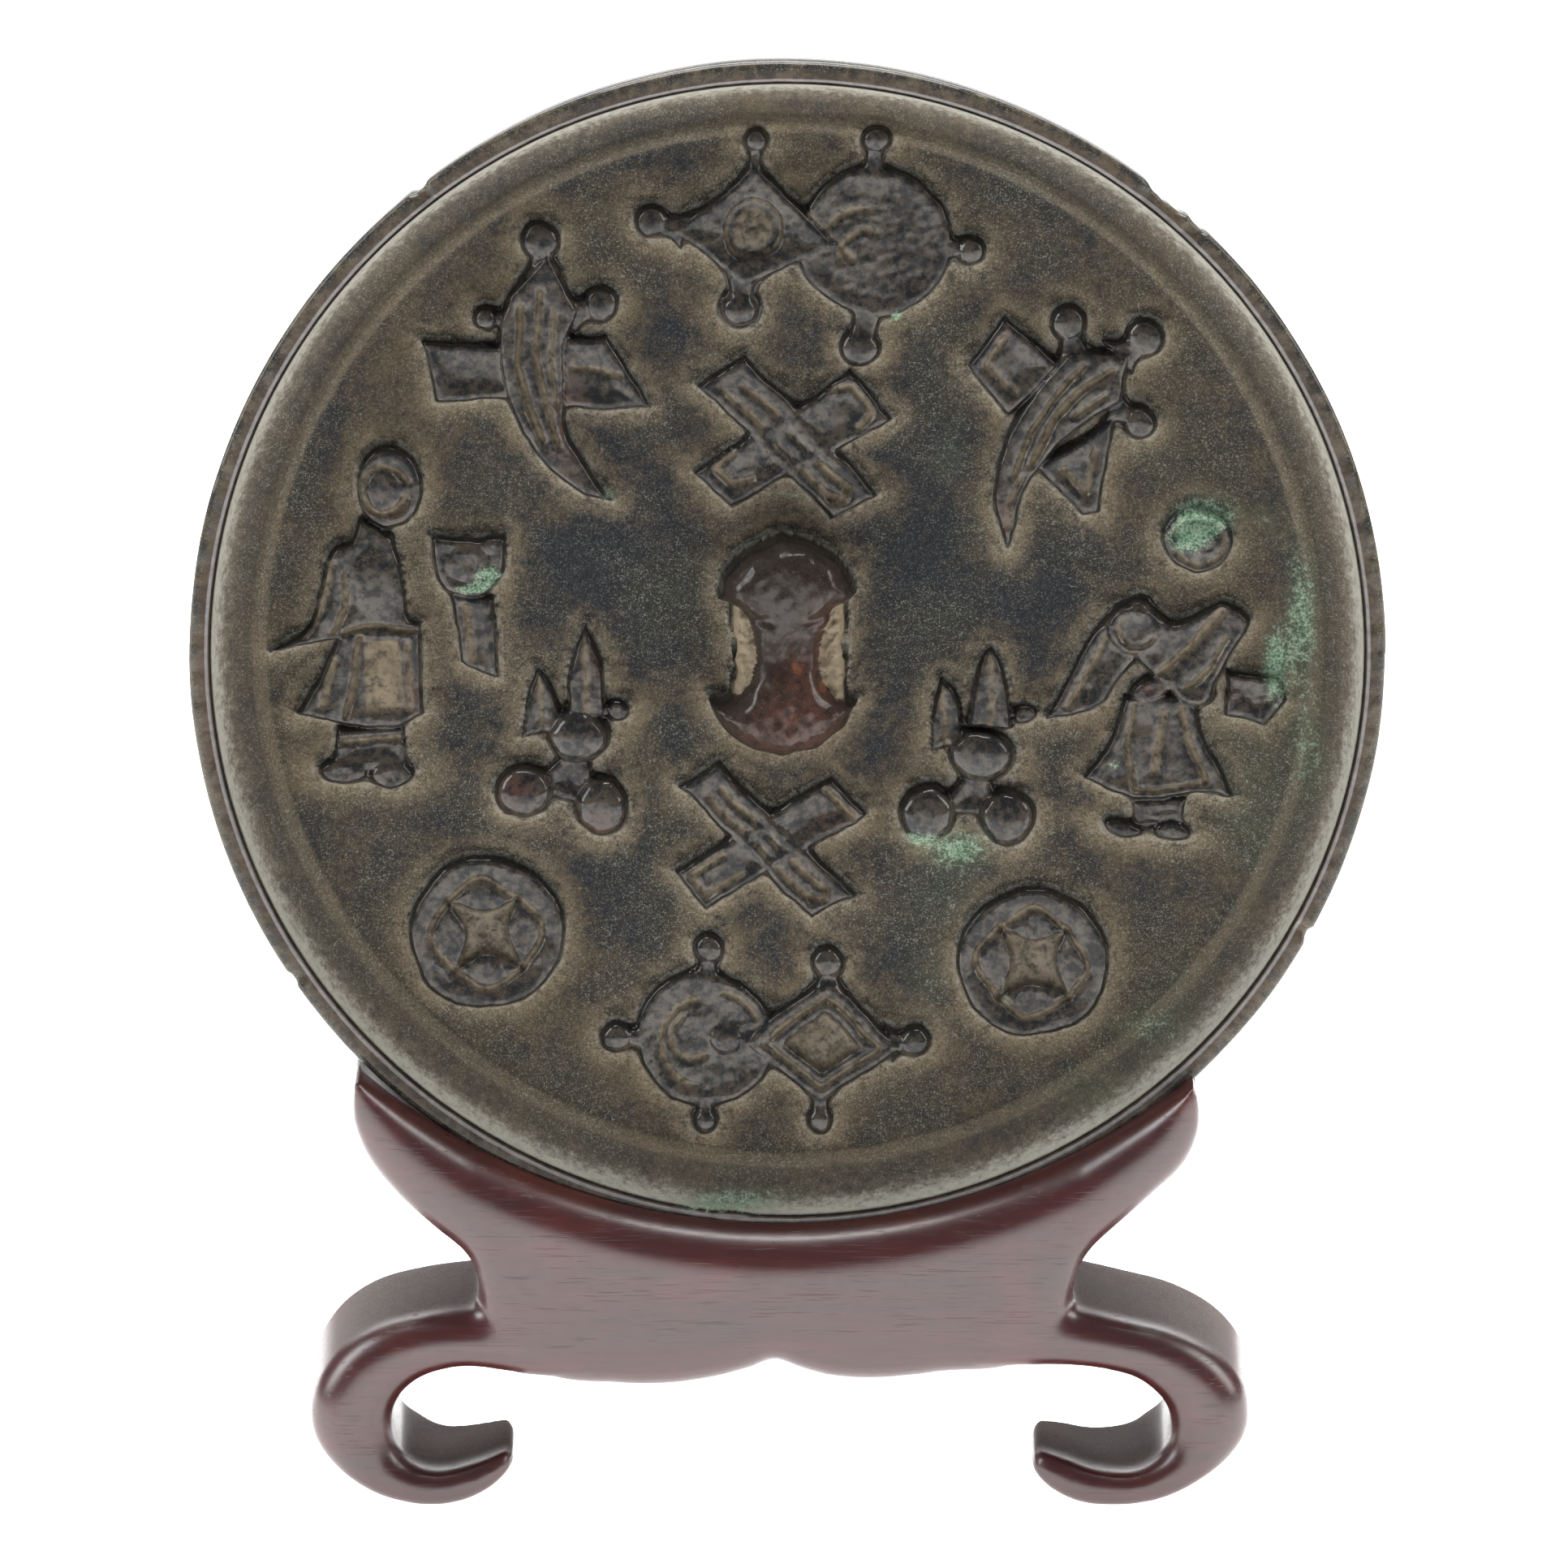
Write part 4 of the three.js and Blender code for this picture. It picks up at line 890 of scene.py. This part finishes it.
# Materials. A Signal is one output of a node, and sums on it add Math nodes.
class Signal:
    def __init__(self, socket):
        self.socket = socket

    def math(self, operation, *others):
        tree = self.socket.id_data
        node = tree.nodes.new("ShaderNodeMath")
        node.operation = operation
        for entry, value in zip(node.inputs, (self, *others)):
            if isinstance(value, Signal):
                tree.links.new(value.socket, entry)
            else:
                entry.default_value = value
        return Signal(node.outputs[0])

    def __add__(self, other):
        return self.math("ADD", other)

    def __mul__(self, other):
        return self.math("MULTIPLY", other)

    def __rsub__(self, other):
        return self.math("MULTIPLY_ADD", -1.0, other)

    def __sub__(self, other):
        return self.math("SUBTRACT", other)

    __radd__ = __add__
    __rmul__ = __mul__

    def held(self):
        return self.math("MINIMUM", 1.0).math("MAXIMUM", 0.0)


class Finish:
    def __init__(self, name, look):
        self.look = look
        self.material = bpy.data.materials.new(name)
        self.material.use_nodes = True
        self.tree = self.material.node_tree
        self.surface = self.tree.nodes["Principled BSDF"]
        self.object = self.node("TexCoord", out="Object")

    def node(self, kind, settings=None, out=0, **entries):
        node = self.tree.nodes.new("ShaderNode" + kind)
        for name, value in (settings or {}).items():
            if name == "stops":
                ramp = node.color_ramp
                while len(ramp.elements) < len(value):
                    ramp.elements.new(0.5)
                for element, (place, color) in zip(ramp.elements, value):
                    element.position = place
                    element.color = (*color, 1)
            else:
                setattr(node, name, value)
        for name, value in entries.items():
            entry = node.inputs[int(name[1:]) if name[1:].isdigit() else name.replace("_", " ")]
            if isinstance(value, Signal):
                self.tree.links.new(value.socket, entry)
            else:
                entry.default_value = value
        return Signal(node.outputs[out])

    def noise(self, place, scale, detail=3.0, roughness=0.55, distortion=0.0):
        return self.node("TexNoise", Vector=place, Scale=scale, Detail=detail,
                         Roughness=roughness, Distortion=distortion)

    def step(self, value, low, high):
        return self.node("MapRange", {"interpolation_type": "SMOOTHSTEP"}, Value=value,
                         From_Min=low, From_Max=high)

    def band(self, value, low, high, soft):
        return self.step(value, low - soft, low) * (1 - self.step(value, high, high + soft))

    def blend(self, factor, first, second, kind="MIX"):
        first, second = (tone if isinstance(tone, Signal) else (*self.look[tone], 1)
                         for tone in (first, second))
        return self.node("Mix", {"data_type": "RGBA", "blend_type": kind}, out=2,
                         _0=factor, _6=first, _7=second)

    def spot(self, name):
        return self.node("Attribute", {"attribute_name": name}, out="Fac")

    def feed(self, **entries):
        for name, value in entries.items():
            entry = self.surface.inputs[name.replace("_", " ")]
            if isinstance(value, Signal):
                self.tree.links.new(value.socket, entry)
            else:
                entry.default_value = value

    def bump(self, strength, height, distance, onto=None):
        entries = {"Normal": onto} if onto else {}
        return self.node("Bump", Strength=strength, Height=height, Distance=distance,
                         **entries)


bronzeLook = {
    "slate": (0.024, 0.0255, 0.029), "ochre": (0.092, 0.071, 0.046), "olive": (0.052, 0.049, 0.034),
    # the last colour on the next line is painted shade for the slopes that face up
    "speck": (0.28, 0.28, 0.25), "halo": (0.225, 0.18, 0.12), "shedBrown": (0.026, 0.021, 0.015),
    # the last colour on the next line is a painted highlight for the rim's edges
    "rimBrown": (0.105, 0.078, 0.054), "rimDark": (0.050, 0.037, 0.027), "rimLine": (0.27, 0.26, 0.26),
    "knobDark": (0.021, 0.014, 0.010),
    "emblemDark": (0.0115, 0.0120, 0.0130), "emblemBrown": (0.052, 0.041, 0.030),
    # the last colour on the next line is painted shade at the foot of the emblems and in the rim's seam
    "rust": (0.135, 0.048, 0.024), "redBrown": (0.070, 0.026, 0.017), "contour": (0.004, 0.0035, 0.003),
    "coveDust": (0.44, 0.425, 0.365), "coveTan": (0.22, 0.19, 0.145),
    "verdigris": (0.060, 0.150, 0.088), "paleGreen": (0.33, 0.43, 0.31),
    "backDark": (0.024, 0.022, 0.019), "greenTint": (0.082, 0.105, 0.072),
}


def bronzeFinish():
    bronze = Finish("bronzePatina", bronzeLook)
    noise, step, band, blend, spot = bronze.noise, bronze.step, bronze.band, bronze.blend, bronze.spot
    tilt = math.pi / 2 - mirrorLean
    centre = Matrix.Rotation(-tilt, 4, "X") @ (mirrorCentre * -1.0)
    plan = bronze.node("Mapping", Vector=bronze.object, Location=tuple(centre),
                       Rotation=(-tilt, 0, 0), Scale=(1000, 1000, 1000))
    flat = bronze.node("Mapping", Vector=plan, Scale=(1, 1, 0))
    radius = bronze.node("VectorMath", {"operation": "LENGTH"}, out="Value", _0=flat)
    edge, front, green, red, slate, caught, pearly, shed = (spot(name) for name in (
        "edge", "front", "green", "red", "slate", "caught", "pearly", "shed"))

    broad = noise(plan, 0.13, 4, 0.6, 0.4)
    blotch = noise(plan, 0.42, 5, 0.62, 0.3)
    mottle = noise(plan, 1.6, 5, 0.65)
    grain = noise(plan, 5.5, 3, 0.7)
    speck = noise(plan, 10.0, 2, 0.8)

    # The ground, with its low ridge, pale halos round the emblems, and painted shade above them on the
    # slopes that face up.
    around = 1 - step(edge, 0.2, 3.6)
    outer = step(radius, 22, 36)
    warmth = blotch * 0.55 + mottle * 0.35 + around * 0.12 + outer * 0.08 - slate * 0.14
    color = blend(step(warmth, 0.36, 0.66), "slate", "ochre")
    color = blend(step(broad, 0.42, 0.62) * 0.5, color, "olive")
    ring = band(radius, 37.2, 37.9, 0.35) * (0.25 + mottle * 0.3)
    color = blend(ring, color, "halo")
    onEmblem = 1 - step(edge, -0.22, -0.05)
    halo = (1 - step(edge, 0.1, 1.9)) * step(mottle + blotch * 0.6 + grain * 0.3, 0.6, 1.1)
    # painted shade: on slopes that face up the pale halos are left out and the ground is darkened
    color = blend((halo * (0.9 - shed * 1.3)).held(), color, "halo")
    color = blend(shed * (1 - step(radius, 36, 37)) * 0.7, color, "shedBrown")
    color = blend(1.0, color, 0.86 + (grain - 0.5) * 1.5, "MULTIPLY")

    # The cove, pale with dust, and greenish stains.
    dusty = step(radius + (mottle - 0.5) * 0.9, 39.1, 40.8) * (1 - step(radius, 40.85, 41.0))
    dusty = dusty + band(radius, 38.2, 39.4, 0.6) * 0.2
    dustTone = blend(step(mottle + grain * 0.6 + (radius - 40.3) * 0.5, 0.55, 1.05),
                     "coveTan", "coveDust")
    color = blend((dusty * (0.35 + mottle * 0.7 + grain * 0.4)).held(), color, dustTone)
    color = blend(step(green, 0.05, 0.7) * 0.4, color, "greenTint")

    # The emblems and the knob, and pale specks over all.
    emblem = blend(step(mottle + blotch * 0.4, 0.58, 0.82), "emblemDark", "emblemBrown")
    emblem = blend((pearly * -0.6).held(), emblem, "knobDark")
    emblem = blend((red * step(mottle, 0.3, 0.65)).held(), emblem, "redBrown")
    emblem = blend(step(red * 0.8 + mottle * 0.9 + grain * 0.3, 1.45, 1.75) * 0.7, emblem, "rust")
    emblem = blend(caught * (0.2 + step(mottle + grain * 0.3, 0.4, 0.75) * 0.7), emblem, "halo")
    color = blend(onEmblem, color, emblem)
    specks = step(speck * 0.75 + grain * 0.35 + mottle * 0.12, 0.655, 0.735)
    sprinkled = specks * (1 - onEmblem * 0.8) * front * (0.3 + step(broad, 0.35, 0.6) * 0.4)
    color = blend(sprinkled.held(), color, "speck")

    # The rim, with painted highlights as bright lines along its edges and painted shade as a dark seam
    # inside, and the back.
    onRim = step(radius, 40.95, 41.15)
    rimTone = blend(step(mottle * 0.7 + blotch * 0.5, 0.5, 0.72), "rimDark", "rimBrown")
    rimTone = blend((red * mottle * 1.4).held(), rimTone, "redBrown")
    color = blend(onRim, color, rimTone)
    line = band(radius, 41.22, 41.40, 0.06) + step(radius, 42.32, 42.42) * 0.7
    color = blend((line * (0.25 + mottle)).held(), color, "rimLine")
    seamShade = band(radius, 41.02, 41.08, 0.09)
    color = blend(seamShade * 0.75, color, "contour")
    backTone = blend(step(mottle * 0.5 + blotch * 0.7, 0.5, 0.72), "backDark", "ochre")
    color = blend(1 - front, color, blend(specks * 0.5, backTone, "speck"))

    # A thin pale foot, painted shade as a dark contour round each emblem, and verdigris on top.
    foot = band(edge, 0.12, 0.28, 0.14) * step(mottle + grain * 0.5, 0.55, 0.95)
    color = blend(foot * 0.4, color, "speck")
    contour = band(edge, -0.22, -0.02, 0.1) * (0.45 + step(blotch + mottle, 0.8, 1.1) * 0.55)
    color = blend(contour * 0.92, color, "contour")

    greenness = step(green * 0.8 + mottle + grain * 0.6, 1.15, 1.55) * step(green, 0.05, 0.2)
    verdigris = blend(step(grain + mottle * 0.4, 0.56, 0.86), "verdigris", "paleGreen")
    color = blend(greenness * 0.8, color, verdigris)

    roughness = (0.72 - onEmblem * 0.25 - onRim * 0.15 + (mottle - 0.5) * 0.3).held()
    polish = 0.4 + step(mottle * 0.6 + blotch * 0.6, 0.5, 0.72) * 0.6
    worn = (1 - step(edge, -0.10, 0.06)) * (polish + pearly * 0.2 - greenness - caught * 0.8)
    varnish = ((worn + onRim * 0.25 + (1 - front) * 0.4) * (1 - specks)).held()
    pits = grain * 0.6 + mottle * 0.9 + speck * 0.3
    normal = bronze.bump(0.5, pits * (1 - onEmblem * 0.7), 0.15 * mm)
    bronze.feed(Base_Color=color, Roughness=roughness, Normal=normal, Coat_Weight=varnish)
    bronze.feed(Specular_IOR_Level=0.12, Coat_Roughness=0.09, Coat_IOR=1.5)
    return bronze.material


woodLook = {
    "heart": (0.058, 0.0072, 0.0070), "dark": (0.036, 0.0058, 0.0058), "warm": (0.085, 0.014, 0.009),
    "pore": (0.012, 0.004, 0.0035), "dust": (0.125, 0.124, 0.108),
}


def markStand():
    normal = vertexArray(standPiece, "normal")
    x, y, z = (vertexArray(standPiece) / mm).T
    upward = ease(normal[:, 2], 0.45, 0.9)
    onFoot = ease(17.5 - z, 0, 1.5)
    addAttribute(standPiece, "dust", upward * onFoot * ease(y, -7.2, -4.2))


def woodFinish():
    wood = Finish("polishedRosewood", woodLook)
    noise, step, blend = wood.noise, wood.step, wood.blend
    along = wood.node("Mapping", Vector=wood.object, Scale=(60, 260, 900))
    pores = wood.node("Mapping", Vector=wood.object, Scale=(280, 2400, 11000))
    fine = wood.node("Mapping", Vector=wood.object, Scale=(1000, 1000, 1000))
    figure = noise(along, 0.42, 4, 0.6, 0.7)
    streak = noise(along, 2.2, 4, 0.6, 0.2)
    pore = noise(pores, 1.0, 2, 0.5)
    patch = noise(fine, 0.11, 3, 0.55)
    speck = noise(fine, 7.5, 2, 0.8)
    mottle = noise(fine, 1.3, 3, 0.6)
    dust = wood.spot("dust")

    color = blend(step(figure * 0.6 + streak * 0.45, 0.40, 0.66), "dark", "heart")
    color = blend(step(patch + streak * 0.2, 0.60, 0.80) * 0.6, color, "warm")
    openPores = step(pore + (streak - 0.5) * 0.3, 0.62, 0.70)
    color = blend(openPores * 0.45, color, "pore")
    sparse = step(speck, 0.80, 0.84) * 0.6
    grey = (dust * (0.35 + step(speck + mottle * 0.3, 0.55, 0.85) * 0.75)).held()
    color = blend((grey * 0.8 + sparse).held(), color, "dust")
    roughness = (0.30 + (mottle - 0.5) * 0.12 + dust * 0.6 + openPores * 0.15).held()
    normal = wood.bump(0.2, (1 - openPores) + mottle * 0.3, 0.04 * mm)
    wood.feed(Base_Color=color, Roughness=roughness, Normal=normal)
    wood.feed(IOR=1.52, Specular_IOR_Level=1.0)
    return wood.material


markStand()
mirrorPiece.data.materials.append(bronzeFinish())
standPiece.data.materials.append(woodFinish())
print("finishes ready")

for piece, node, slot in ((mirrorPiece, "mirror", "bronze"), (standPiece, "stand", "rosewood")):
    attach(piece, "root")
    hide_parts(node)
